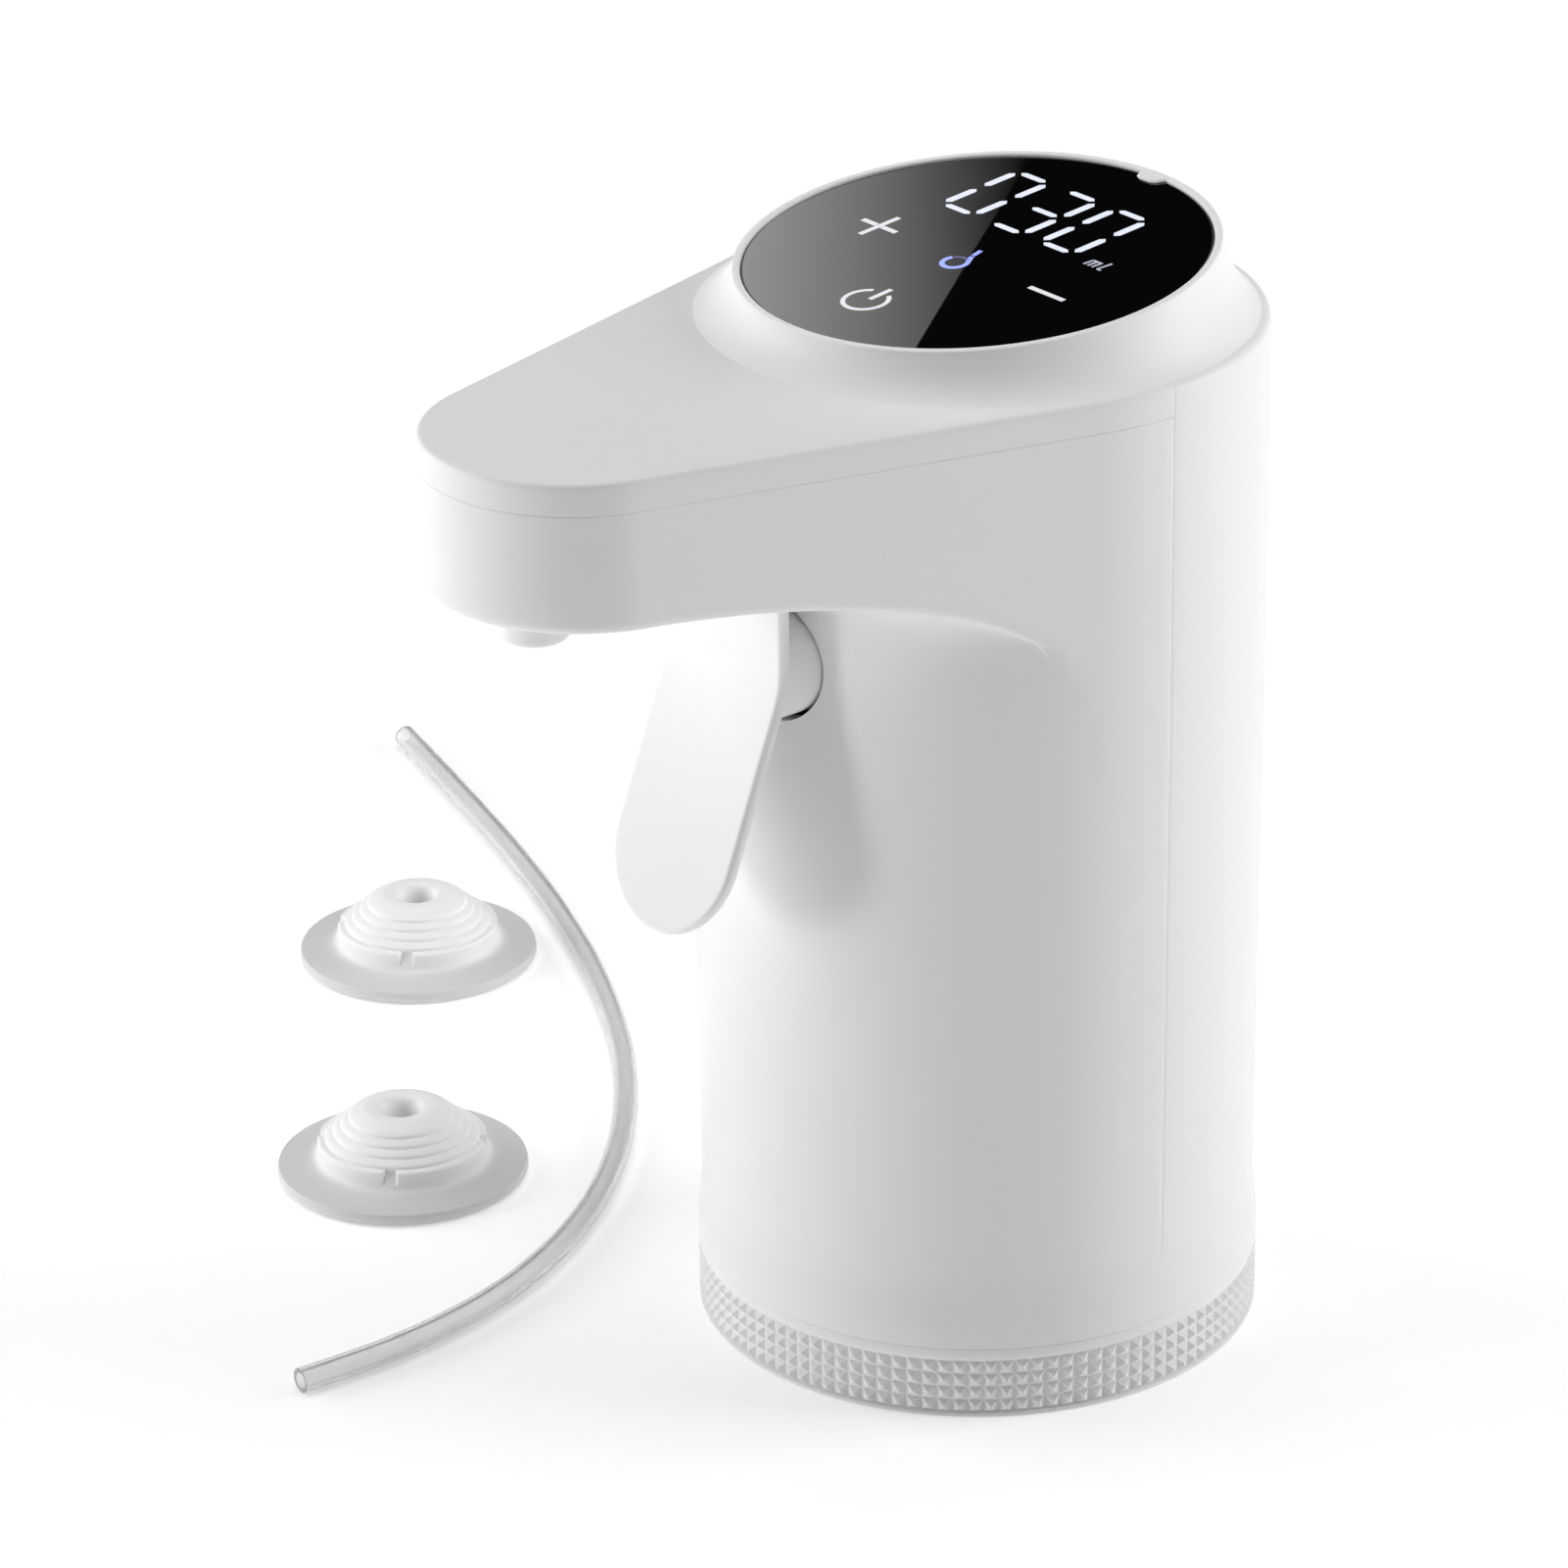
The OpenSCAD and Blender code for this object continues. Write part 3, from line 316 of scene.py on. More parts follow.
edge = [math.asin(y / BODY_R) for y in (SPLIT, 0.05, 0.11, 0.5)]
front_extra = [s * (math.pi / 2 - a) for a in edge for s in (-1, 1)]
nose_end = np.array([NOSE_R * math.cos(BETA), REACH + NOSE_R * math.sin(BETA)])
body_end = np.array([BODY_R * math.cos(BETA), BODY_R * math.sin(BETA)])
rounds = [(NOSE_R * math.sin(t), REACH + NOSE_R * math.cos(t))
          for t in np.linspace(0.02, math.pi / 2 - BETA, 34)]
rounds += [tuple(nose_end + (body_end - nose_end) * t) for t in np.linspace(0.02, 1, 60)]
front_extra += [s * math.atan2(x, y) for x, y in rounds for s in (-1, 1)]
limit = math.pi / 2 - edge[0]
front_angles = join_angles(-limit, limit, 61, front_extra)
front = sweep("front_shell_skin", front_angles, front_section, white)


def rear_section(psi):
    dip = side_groove(psi, BODY_R)
    line = [(body_r(z) - dip, z) for z in np.linspace(FOOT_Z, ARCH_Z, 20)]
    line += [(BODY_R - dip, z) for z in np.linspace(ARCH_Z, TOP_Z - 1, 8)[1:]]
    line += bezier((BODY_R - dip, TOP_Z - 1), (BODY_R - dip, TOP_Z), (BODY_R - 1, TOP_Z), 7)[1:]
    line += [(OPENING_R, TOP_Z), (OPENING_R, TOP_Z - WALL), (BODY_R - WALL, TOP_Z - WALL),
             (BODY_R - WALL, ARCH_Z), (FOOT_R - WALL, FOOT_Z)]
    return line


rear_extra = [math.pi / 2 + a for a in edge] + [3 * math.pi / 2 - a for a in edge]
rear_angles = join_angles(math.pi / 2 + edge[0], 3 * math.pi / 2 - edge[0], 121, rear_extra)
rear = sweep("rear_shell_skin", rear_angles, rear_section, white)


def cut(piece, cutter):
    """Takes the cutter's shape out of a piece and removes the cutter."""
    change = piece.modifiers.new("cut", "BOOLEAN")
    change.operation = "DIFFERENCE"
    change.solver = "EXACT"
    change.object = cutter
    bpy.context.view_layer.update()
    made = bpy.data.meshes.new_from_object(piece.evaluated_get(bpy.context.evaluated_depsgraph_get()))
    piece.modifiers.remove(change)
    piece.data = made
    made.shade_smooth()
    made.set_sharp_from_angle(angle=math.radians(38))
    bpy.data.objects.remove(cutter)


def oval_line(wide, high, count=48):
    """Outline of a slot with round ends, anticlockwise."""
    r, run = high / 2, (wide - high) / 2
    line = []
    for k in range(count):
        t = 2 * math.pi * k / count
        line.append((r * math.cos(t) + (run if math.cos(t) > 0 else -run), r * math.sin(t)))
    return line


def prism_y(name, outline, y0, y1, x, z, material):
    """A prism along Y from an outline in X and Z."""
    n = len(outline)
    points = [(x + u, y, z + v) for y in (y0, y1) for u, v in outline]
    faces = grid_faces(2, n, False, True) + [tuple(range(n)), tuple(range(n, 2 * n))]
    return mesh_piece(name, points, faces, material)


BOSS_Z, BOSS_H, PADDLE_Y, PADDLE_W = 82.8, 12.3, -33.7, 18.2
cut(front, prism_y("window", oval_line(PADDLE_W + 0.7, BOSS_H + 1.2), -32, -25, 0, BOSS_Z - 0.1, white))
slot_line = [(-6.35, -4), (6.35, -4), (6.35, 4), (-6.35, 4)]
cut(front, prism_y("slot", slot_line, -34.2, -30.1, 0, 95.6, white))
cut(rear, prism_y("port", oval_line(9.2, 3.5), 24, 34, 0, 18.45, white))
for piece, name in ((front, "front_shell"), (rear, "rear_shell")):
    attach(piece, "head")
    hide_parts(name)

# Top cover: a white moulding that closes the arm and the front of the body.
# It drops onto the front half, and a fine line shows where they meet.
COVER_Z, COVER_ROUND = SEAM_Z + SEAM_GAP, 0.8


def cover_section(psi):
    outer = plan_r(psi)
    dip = side_groove(psi, outer)
    line = [(outer - SEAM_BEVEL - dip, COVER_Z), (outer - dip, COVER_Z + SEAM_BEVEL), (outer - dip, SEAM_Z + 0.12)]
    line += bezier((outer - dip, TOP_Z - COVER_ROUND), (outer - dip, TOP_Z), (outer - COVER_ROUND, TOP_Z), 8)
    line += [(r, TOP_Z) for r in np.linspace(outer - COVER_ROUND, OPENING_R, 12)[1:]]
    line += [(OPENING_R, TOP_Z - WALL), (outer - WALL, TOP_Z - WALL), (outer - WALL, COVER_Z)]
    return line


cover = sweep("top_cover_skin", front_angles, cover_section, white)
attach(cover, "head")
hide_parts("top_cover")

# Display bezel: a white moulding that sweeps up from the shoulder in a cove.
# Its rim is tilted towards the spout and holds the panel, with a small tab at the back.
PANEL_Z, TILT, PANEL_R = 118.4, math.radians(5.7), 24.1
BEZEL_R, RIM_R, RIM_LIP, HOLLOW = 29.0, 25.1, 0.3, 0.6
bezel_white = moulded("bezel_white", (0.84, 0.84, 0.84), 0.4, grain=0.015, spread=0.02)


def tilted(x, y, h):
    """A point given on the panel's face, h above it."""
    return (x, y * math.cos(TILT) - h * math.sin(TILT), PANEL_Z + y * math.sin(TILT) + h * math.cos(TILT))


bezel_points, bezel_turns = [], 160
for i in range(bezel_turns):
    c, s = math.cos(2 * math.pi * i / bezel_turns), math.sin(2 * math.pi * i / bezel_turns)
    rim = tilted(RIM_R * c, RIM_R * s, RIM_LIP - 0.3)
    low = (BEZEL_R * c, BEZEL_R * s, TOP_Z)
    for k in range(15):
        t, ph = k / 14, math.pi / 28 * k
        inwards, upwards = [HOLLOW * v + (1 - HOLLOW) * t for v in (math.sin(ph), 1 - math.cos(ph))]
        bezel_points.append((low[0] + (rim[0] - low[0]) * inwards, low[1] + (rim[1] - low[1]) * inwards,
                             low[2] + (rim[2] - low[2]) * upwards))
    lip = bezier((RIM_R, RIM_LIP - 0.3), (RIM_R, RIM_LIP), (RIM_R - 0.32, RIM_LIP), 5)[1:]
    lip += bezier((PANEL_R + 0.4, RIM_LIP), (PANEL_R + 0.1, RIM_LIP), (PANEL_R + 0.1, RIM_LIP - 0.3), 4)
    lip += [(PANEL_R + 0.1, -1.5), (21.8, -1.5)]
    bezel_points += [tilted(r * c, r * s, h) for r, h in lip]
    bezel_points += [(r * c, r * s, z) for r, z in ((22.6, 109.8), (24.8, 109.8), (24.8, TOP_Z - 0.02))]
bezel = mesh_piece("display_bezel_skin", bezel_points,
                   grid_faces(bezel_turns, len(bezel_points) // bezel_turns, True, True), bezel_white)
tab = []
for h in (-0.8, 0.1, 0.27):
    small = 0.15 if h > 0.2 else 0
    half = [(2.2 - small, 24.6), (1.5 - small, 23.2 + small), (0.8, 22.9 + small)]
    tab += [tilted(x, y, h) for x, y in [(-x, y) for x, y in half] + half[::-1]]
tab_piece = mesh_piece("display_bezel_tab", tab, grid_faces(3, 6, False, True)
                       + [tuple(range(6)), tuple(range(12, 18))], bezel_white)
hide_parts("display_bezel")
for piece in (bezel, tab_piece):
    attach(piece, "head")

# Display panel: a black gloss acrylic disc, smoked so that lit marks shine through it.
# The digits, unit and touch signs are printed behind it and lit from the board below.
glass, tree, shader, node = new_material("black_panel")
uneven(tree, node, shader.inputs["Roughness"], 0.002, 0.014, 130, 5)
shader.inputs["Base Color"].default_value = (0.002, 0.002, 0.0025, 1)
shader.inputs["IOR"].default_value = 1.5
panel_points, panel_turns = [], 144
panel_section = [(0.02, 0), (8, 0), (16, 0), (PANEL_R - 0.12, 0), (PANEL_R, -0.12), (PANEL_R, -1.45),
                 (12, -1.45), (0.02, -1.45)]
for i in range(panel_turns):
    c, s = math.cos(2 * math.pi * i / panel_turns), math.sin(2 * math.pi * i / panel_turns)
    panel_points += [tilted(r * c, r * s, h) for r, h in panel_section]
panel_faces = grid_faces(panel_turns, len(panel_section), True, False)
panel_faces += [tuple(len(panel_section) * i for i in range(panel_turns)),
                tuple(len(panel_section) * i + len(panel_section) - 1 for i in range(panel_turns))]
panel = mesh_piece("display_panel_skin", panel_points, panel_faces, glass)
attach(panel, "head")
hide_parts("display_panel")


def lit(name, colour, strength):
    """Light through the smoked panel, a little uneven along each mark."""
    material, tree, shader, node = new_material(name)
    uneven(tree, node, shader.inputs["Emission Strength"], strength * 0.85, strength * 1.1, 700)
    shader.inputs["Emission Color"].default_value = (*colour, 1)
    shader.inputs["Base Color"].default_value = (*[c * 0.2 for c in colour], 1)
    shader.inputs["Roughness"].default_value = 0.25
    return material


def marks(name, shapes, material):
    """Thin lit shapes that lie on the panel's face, each a closed outline on it."""
    points, faces = [], []
    for outline in shapes:
        base, n = len(points), len(outline)
        points += [tilted(x, y, h) for h in (-0.02, 0.02) for x, y in outline]
        faces += [(base + i, base + (i + 1) % n, base + n + (i + 1) % n, base + n + i) for i in range(n)]
        faces += [tuple(base + n + i for i in range(n)), tuple(base + i for i in reversed(range(n)))]
    piece = mesh_piece(name, points, faces, material, smooth=False)
    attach(piece, "head")


def bar(x0, y0, x1, y1, thick, point=0.0):
    """A straight stroke, its ends cut to a point if asked."""
    length = math.hypot(x1 - x0, y1 - y0)
    dx, dy = (x1 - x0) / length, (y1 - y0) / length
    half = thick / 2
    local = [(0, -half), (length, -half), (length, half), (0, half)]
    if point:
        local = [(point, -half), (length - point, -half), (length, 0), (length - point, half), (point, half),
                 (0, 0)]
    return [(x0 + u * dx - v * dy, y0 + u * dy + v * dx) for u, v in local]


def arc(x, y, r, thick, start, end, count=28):
    """A curved stroke as quads from one angle to another, in degrees."""
    shapes = []
    for k in range(count):
        a, b = [math.radians(start + (end - start) * (k + d) / count) for d in (0, 1)]
        inner, outer = r - thick / 2, r + thick / 2
        shapes.append([(x + q * math.cos(t), y + q * math.sin(t))
                       for q, t in ((inner, a), (outer, a), (outer, b), (inner, b))])
    return shapes


digit_shapes = []
for x, on in ((-9.6, "abcdef"), (-1.95, "abgcd"), (5.7, "abcdef")):
    y, w, h = 10.85, 2.4, 5.18
    strokes = {"a": (x - 1.9, y + h, x + 1.9, y + h, 0.76), "d": (x - 1.9, y - h, x + 1.9, y - h, 0.76),
               "g": (x - 1.9, y, x + 1.9, y, 0.76), "b": (x + w, y + 0.55, x + w, y + 4.75, 0.95),
               "c": (x + w, y - 4.75, x + w, y - 0.55, 0.95), "e": (x - w, y - 4.75, x - w, y - 0.55, 0.95),
               "f": (x - w, y + 0.55, x - w, y + 4.75, 0.95)}
    digit_shapes += [bar(*strokes[k], point=0.45) for k in on]
unit_x, unit_y = 10.95, 4.75
unit = [bar(unit_x + k * 0.62, unit_y, unit_x + k * 0.62 + 0.16, unit_y + 1.15, 0.28) for k in range(3)]
unit += [bar(unit_x + 0.1, unit_y + 1.22, unit_x + 1.5, unit_y + 1.22, 0.26)]
unit += [bar(unit_x + 2.05, unit_y, unit_x + 2.3, unit_y + 1.85, 0.28)]
unit += [bar(unit_x + 2.05, unit_y, unit_x + 2.6, unit_y, 0.24)]
marks("display_digits", digit_shapes, lit("lit_white", (0.8, 0.84, 0.96), 0.9))
marks("display_unit", unit, lit("lit_unit", (0.7, 0.74, 0.9), 0.55))
plus_x, plus_y, arm = -12.65, -2.35, 2.65
plus = [bar(plus_x - arm, plus_y, plus_x - 0.42, plus_y, 0.66),
        bar(plus_x + 0.42, plus_y, plus_x + arm, plus_y, 0.66),
        bar(plus_x, plus_y - arm, plus_x, plus_y + arm, 0.66)]
minus = [bar(11, -2.55, 16.2, -2.55, 0.62)]
power_sign = arc(0.5, -15.25, 2.35, 0.5, 121, 422) + [bar(0.7, -14.9, 0.6, -11.95, 0.58)]
marks("display_signs", plus + minus + power_sign, lit("lit_signs", (0.85, 0.86, 0.9), 0.8))
drop = arc(0.45, -3.4, 1.32, 0.56, 150, 382)
drop += [bar(1.75, -2.95, 0.74, -1.35, 0.52), bar(0.66, -1.1, 0.34, 0.2, 0.5)]
marks("display_drop", drop, lit("lit_blue", (0.3, 0.36, 1.0), 1.2))
marks("display_drop_top", arc(0.5, -3.3, 1.25, 0.34, 62, 150), lit("lit_faint", (0.4, 0.42, 0.85), 0.22))

# Foot collar: the fixed white ring that closes the body's foot, a touch wider than the shells.
# It carries the neck that the lock ring turns on.


def turned(name, section, material, at=(0, 0), sides=128, shape=None):
    """A turned solid from a closed section of (r, z), or of (r, z) changed by shape(angle, r, z)."""
    points = []
    for i in range(sides):
        t = 2 * math.pi * i / sides
        for r, z in section:
            q = shape(t, r, z) if shape else r
            points.append((at[0] + q * math.cos(t), at[1] + q * math.sin(t), z))
    return mesh_piece(name, points, grid_faces(sides, len(section), True, True), material)


collar_section = [(24.0, 2.55), (24.0, 8.03), (29.92, 8.03)]
collar_section += [(29.96, 8.04), (29.98, 8.07), (29.98, 8.2)]
collar_section += [(29.98 - 0.48 * ease(k / 16), 9.5 + 5.92 * k / 16) for k in range(17)]
collar_section += [(27.2, 15.42), (27.2, 17.25), (24.8, 17.25), (24.8, 11.25), (5.05, 11.25), (5.05, 8.85),
                   (21.6, 8.85), (21.6, 2.55)]
collar = turned("foot_collar_skin", collar_section, white, sides=180)
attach(collar, "head")
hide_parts("foot_collar")

# Lock ring: a white moulded ring that turns on the neck to free the stopper.
# Its grip is four rows of small pyramids from the mould, with a smooth rounding below them.
ring_section = [(11.5, 0.3), (11.8, 0), (29.7, 0)]
ring_section += bezier((29.78, 0), (29.93, 0.02), (29.93, 0.18), 4)
ring_section += bezier((29.93, 0.3), (29.9, 0.42), (29.48, 0.55), 4)
ring_section += [(29.48, 3), (29.48, 6.3)] + bezier((29.48, 6.5), (29.94, 6.6), (29.94, 7.3), 6)
ring_section += bezier((29.94, 7.92), (29.94, 8.0), (29.87, 8.0), 4)
ring_section += [(24.6, 8.0), (24.35, 7.8), (24.35, 2.2), (11.8, 2.2), (11.5, 1.9)]
ring = turned("lock_ring_skin", ring_section, white, sides=180)
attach(ring, "lock_ring")
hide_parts("lock_ring")

knurl_tree = bpy.data.node_groups.new("knurl", "GeometryNodeTree")
knurl_tree.interface.new_socket("Geometry", in_out="OUTPUT", socket_type="NodeSocketGeometry")
knurl_inputs = {}
for label, kind, value in (("Columns", "NodeSocketInt", 114), ("Rows", "NodeSocketInt", 4),
                           ("Pitch", "NodeSocketFloat", 1.5 * MM), ("Radius", "NodeSocketFloat", 29.44 * MM),
                           ("First row", "NodeSocketFloat", 1.2 * MM), ("Height", "NodeSocketFloat", 0.54 * MM)):
    socket = knurl_tree.interface.new_socket(label, in_out="INPUT", socket_type=kind)
    socket.default_value = value
    knurl_inputs[label] = (socket.identifier, value)


def knurl_node(kind, **settings):
    made = knurl_tree.nodes.new(kind)
    for key, value in settings.items():
        setattr(made, key, value)
    return made


def wire(a, b):
    knurl_tree.links.new(a, b)


given = knurl_node("NodeGroupInput")
circle = knurl_node("GeometryNodeMeshCircle")
wire(given.outputs["Columns"], circle.inputs["Vertices"])
wire(given.outputs["Radius"], circle.inputs["Radius"])
line = knurl_node("GeometryNodeMeshLine")
step = knurl_node("ShaderNodeCombineXYZ")
first = knurl_node("ShaderNodeCombineXYZ")
wire(given.outputs["Pitch"], step.inputs["Z"])
wire(given.outputs["First row"], first.inputs["Z"])
wire(given.outputs["Rows"], line.inputs["Count"])
wire(first.outputs["Vector"], line.inputs["Start Location"])
wire(step.outputs["Vector"], line.inputs["Offset"])
stack = knurl_node("GeometryNodeInstanceOnPoints")
wire(line.outputs["Mesh"], stack.inputs["Points"])
wire(circle.outputs["Mesh"], stack.inputs["Instance"])
spots = knurl_node("GeometryNodeRealizeInstances")
wire(stack.outputs["Instances"], spots.inputs["Geometry"])
tooth = knurl_node("GeometryNodeMeshCone")
tooth.inputs["Vertices"].default_value = 4
tooth.inputs["Radius Top"].default_value = 0.2 * MM
tooth.inputs["Radius Bottom"].default_value = 1.04 * MM
wire(given.outputs["Height"], tooth.inputs["Depth"])
square = knurl_node("GeometryNodeTransform")
square.inputs["Rotation"].default_value = (0, 0, math.pi / 4)
wire(tooth.outputs["Mesh"], square.inputs["Geometry"])
position = knurl_node("GeometryNodeInputPosition")
parts = knurl_node("ShaderNodeSeparateXYZ")
wire(position.outputs["Position"], parts.inputs["Vector"])
angle = knurl_node("ShaderNodeMath", operation="ARCTAN2")
wire(parts.outputs["Y"], angle.inputs[0])
wire(parts.outputs["X"], angle.inputs[1])
facing = knurl_node("ShaderNodeCombineXYZ")
facing.inputs["Y"].default_value = math.pi / 2
wire(angle.outputs["Value"], facing.inputs["Z"])
teeth = knurl_node("GeometryNodeInstanceOnPoints")
wire(spots.outputs["Geometry"], teeth.inputs["Points"])
wire(square.outputs["Geometry"], teeth.inputs["Instance"])
wire(facing.outputs["Vector"], teeth.inputs["Rotation"])
solid = knurl_node("GeometryNodeRealizeInstances")
wire(teeth.outputs["Instances"], solid.inputs["Geometry"])
paint = knurl_node("GeometryNodeSetMaterial")
paint.inputs["Material"].default_value = white
wire(solid.outputs["Geometry"], paint.inputs["Geometry"])
wire(paint.outputs["Geometry"], knurl_node("NodeGroupOutput").inputs["Geometry"])

knurl = bpy.data.objects.new("lock_ring_knurl", bpy.data.meshes.new("lock_ring_knurl"))
bpy.context.scene.collection.objects.link(knurl)
pattern = knurl.modifiers.new("knurl", "NODES")
pattern.node_group = knurl_tree
for label, (identifier, value) in knurl_inputs.items():
    pattern[identifier] = value
bpy.context.view_layer.update()
knurl_mesh = bpy.data.meshes.new_from_object(knurl.evaluated_get(bpy.context.evaluated_depsgraph_get()))
knurl.modifiers.remove(pattern)
knurl.data = knurl_mesh
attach(knurl, "lock_ring")

# Trigger: a thin white paddle that hangs in front of the body and bends outwards below.
# It is moulded in one with an oval boss that runs back through a window in the front shell.
PADDLE_T, PADDLE_TOP, PADDLE_LEN, BEND_Z, BEND_ROUND, LEAN = 1.4, 93.4, 28.4, 82.1, 2.5, math.radians(21.2)
down = np.array([-math.sin(LEAN), -math.cos(LEAN)])
mid_bend = np.array([PADDLE_Y + PADDLE_T / 2, BEND_Z - 0.2])
path = [np.array([mid_bend[0], z]) for z in np.linspace(PADDLE_TOP, mid_bend[1] + BEND_ROUND, 10)]
path += [np.array(p) for p in bezier(path[-1], mid_bend, mid_bend + BEND_ROUND * down, 16)[1:]]
path += [mid_bend + v * down for v in np.linspace(BEND_ROUND, PADDLE_LEN, 44)[1:]]
along = np.concatenate([[0], np.cumsum([np.linalg.norm(b - a) for a, b in zip(path, path[1:])])])
total, end_r, edge_r = along[-1], PADDLE_W / 2, 0.45
row_s = np.concatenate([np.linspace(0, 1.2, 7), np.linspace(1.2, total - end_r, 40)[1:],
                        total - end_r + end_r * np.sin(np.linspace(0, math.pi / 2, 26)[1:])])
paddle_points, columns = [], 41
spread = np.sin(np.linspace(-math.pi / 2, math.pi / 2, columns))
for side in (1, -1):
    for s in row_s:
        at = np.array([np.interp(s, along, [p[i] for p in path]) for i in (0, 1)])
        k = min(max(np.searchsorted(along, s), 1), len(path) - 2)
        way = path[k + 1] - path[k - 1]
        way /= np.linalg.norm(way)
        normal = np.array([way[1], -way[0]])
        beyond = max(0, s - (total - end_r))
        half = math.sqrt(max(0, end_r ** 2 - beyond ** 2))
        for c in spread:
            x = half * c
            gap = min(end_r - math.hypot(x, beyond) if beyond else half - abs(x), s)
            lift = PADDLE_T / 2 * math.sqrt(max(0, 1 - (1 - min(1, max(0, gap) / edge_r)) ** 2))
            paddle_points.append((x, at[0] + side * lift * normal[0], at[1] + side * lift * normal[1]))
n = len(row_s) * columns
paddle_faces = grid_faces(len(row_s), columns)
paddle_faces += [tuple(n + v for v in reversed(f)) for f in grid_faces(len(row_s), columns)]
# The trigger's copy of the white plastic is set a little brighter than the body's. This tone is painted light and
# shade for the paddle and its boss, which are the same white plastic.
trigger_painted_light_white = moulded("trigger_painted_light_white", (0.85, 0.85, 0.85), 0.36)
paddle = mesh_piece("trigger_paddle", paddle_points, paddle_faces, trigger_painted_light_white)


def paddle_mid(z):
    """How far forward the paddle's middle lies at a height."""
    return float(np.interp(-z, [-p[1] for p in path], [p[0] for p in path]))


boss_line = oval_line(PADDLE_W, BOSS_H, 72)
boss_points = [(u, paddle_mid(BOSS_Z + v), BOSS_Z + v) for u, v in boss_line]
boss_points += [(u, -21.9, BOSS_Z + v) for u, v in boss_line]
boss_points += [(u * 0.975, -21.7, BOSS_Z + v * 0.97) for u, v in boss_line]
m = len(boss_line)
boss = mesh_piece("trigger_boss", boss_points, grid_faces(3, m, False, True)
                  + [tuple(range(m)), tuple(range(2 * m, 3 * m))], trigger_painted_light_white)
web_line = [(-33.6, 89.4), (-33.6, 101.8), (-28, 101.8), (-28, 98.2), (-31.5, 98.2), (-31.5, 89.4)]
web_points = [(x, y, z) for x in (-6, 6) for y, z in web_line]
web = mesh_piece("trigger_web", web_points, grid_faces(2, 6, False, True)
                 + [tuple(range(6)), tuple(range(6, 12))], trigger_painted_light_white)
hub_turns = [2 * math.pi * k / 48 for k in range(48)]
hub_points = [(x, -28 + r * math.cos(t), 100 + r * math.sin(t))
              for x, r in ((-6, 1.25), (-6, 3), (6, 3), (6, 1.25)) for t in hub_turns]
hub = mesh_piece("trigger_hub", hub_points, grid_faces(4, 48, True, True), trigger_painted_light_white)
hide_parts("trigger")
for piece in (paddle, boss, web, hub):
    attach(piece, "trigger")

# Nozzle: a short white spout pushed up into the nose of the arm, with a rounded lip.
# The hose from the pump fits on its side stem inside the arm.
nozzle_section = bezier((1.6, 92.1), (1.65, 91.7), (2.1, 91.7), 4)
nozzle_section += bezier((2.7, 91.7), (3.6, 91.7), (3.6, 92.6), 7)
nozzle_section += [(3.6, 95.5), (3.6, 98.9), (4.6, 98.9), (4.6, 103.6), (3.6, 103.6), (3.6, 108.4),
                   (1.6, 108.4), (1.6, 98)]
nozzle = turned("nozzle_skin", nozzle_section, white, at=(0, -57.4), sides=64)
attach(nozzle, "head")
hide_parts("nozzle")

# Stoppers: two loose plugs of pale translucent silicone, moulded with a wide flange.
# A notched step holds each in the lock ring and its ribs seal in a bottle's neck.
silicone, tree, shader, node = new_material("silicone")
cloud = uneven(tree, node, shader.inputs["Roughness"], 0.42, 0.55, 90, 3)
milk = node("ShaderNodeMix", data_type="RGBA")
milk.inputs[6].default_value = (0.84, 0.84, 0.845, 1)
milk.inputs[7].default_value = (0.9, 0.9, 0.9, 1)
tree.links.new(cloud.outputs["Fac"], milk.inputs[0])
# The flange is painted a darker grey than the plug. This grey stands in for the shade on the flange and is mixed
# in by a mask that covers the flange.
painted_flange_shade = node("ShaderNodeAttribute", attribute_name="painted_flange_shade")
painted_shade_mix = node("ShaderNodeMix", data_type="RGBA")
painted_shade_mix.inputs[7].default_value = (0.64, 0.645, 0.65, 1)
tree.links.new(painted_flange_shade.outputs["Fac"], painted_shade_mix.inputs[0])
tree.links.new(milk.outputs[2], painted_shade_mix.inputs[6])
tree.links.new(painted_shade_mix.outputs[2], shader.inputs["Base Color"])
shader.inputs["Subsurface Weight"].default_value = 0.35
shader.inputs["Subsurface Radius"].default_value = (0.004, 0.004, 0.004)
shader.inputs["IOR"].default_value = 1.41
stopper_section = [(1.6, 0.9), (11.0, 0.9), (11.5, 0.15), (11.9, 0.0), (13.2, 0.0)]
stopper_section += bezier((13.5, 0.05), (14.0, 0.35), (13.95, 1.0), 5) + [(13.8, 1.45)]
stopper_section += [(13.2, 1.58), (12.0, 1.78), (10.8, 2.0)]
stopper_section += bezier((10.2, 2.1), (9.45, 2.25), (9.4, 2.9), 5) + [(9.4, 4.05)]
stopper_section += bezier((9.4, 4.1), (9.38, 4.4), (9.05, 4.4), 4)
for k in range(4):
    z, r = 4.42 + 0.8 * k, 8.58 - 0.9 * k
    stopper_section += [(r, z)] + bezier((r, z + 0.12), (r, z + 0.34), (r - 0.2, z + 0.46), 4)
    stopper_section += [(r - 0.7, z + 0.76)]
stopper_section += bezier((4.5, 7.76), (4.2, 8.0), (3.7, 8.0), 5)
stopper_section += bezier((3.0, 8.0), (2.55, 7.98), (2.3, 7.7), 5)
stopper_section += [(1.6, 6.6), (1.6, 4)]


def notched(t, r, z):
    """Takes four short notches out of the step."""
    if 2.95 < z < 4.43 and r > 8.6:
        away = abs(t % (math.pi / 2) - math.pi / 4) * r
        return max(8.6, r - 0.85) if away < 0.75 else r
    return r


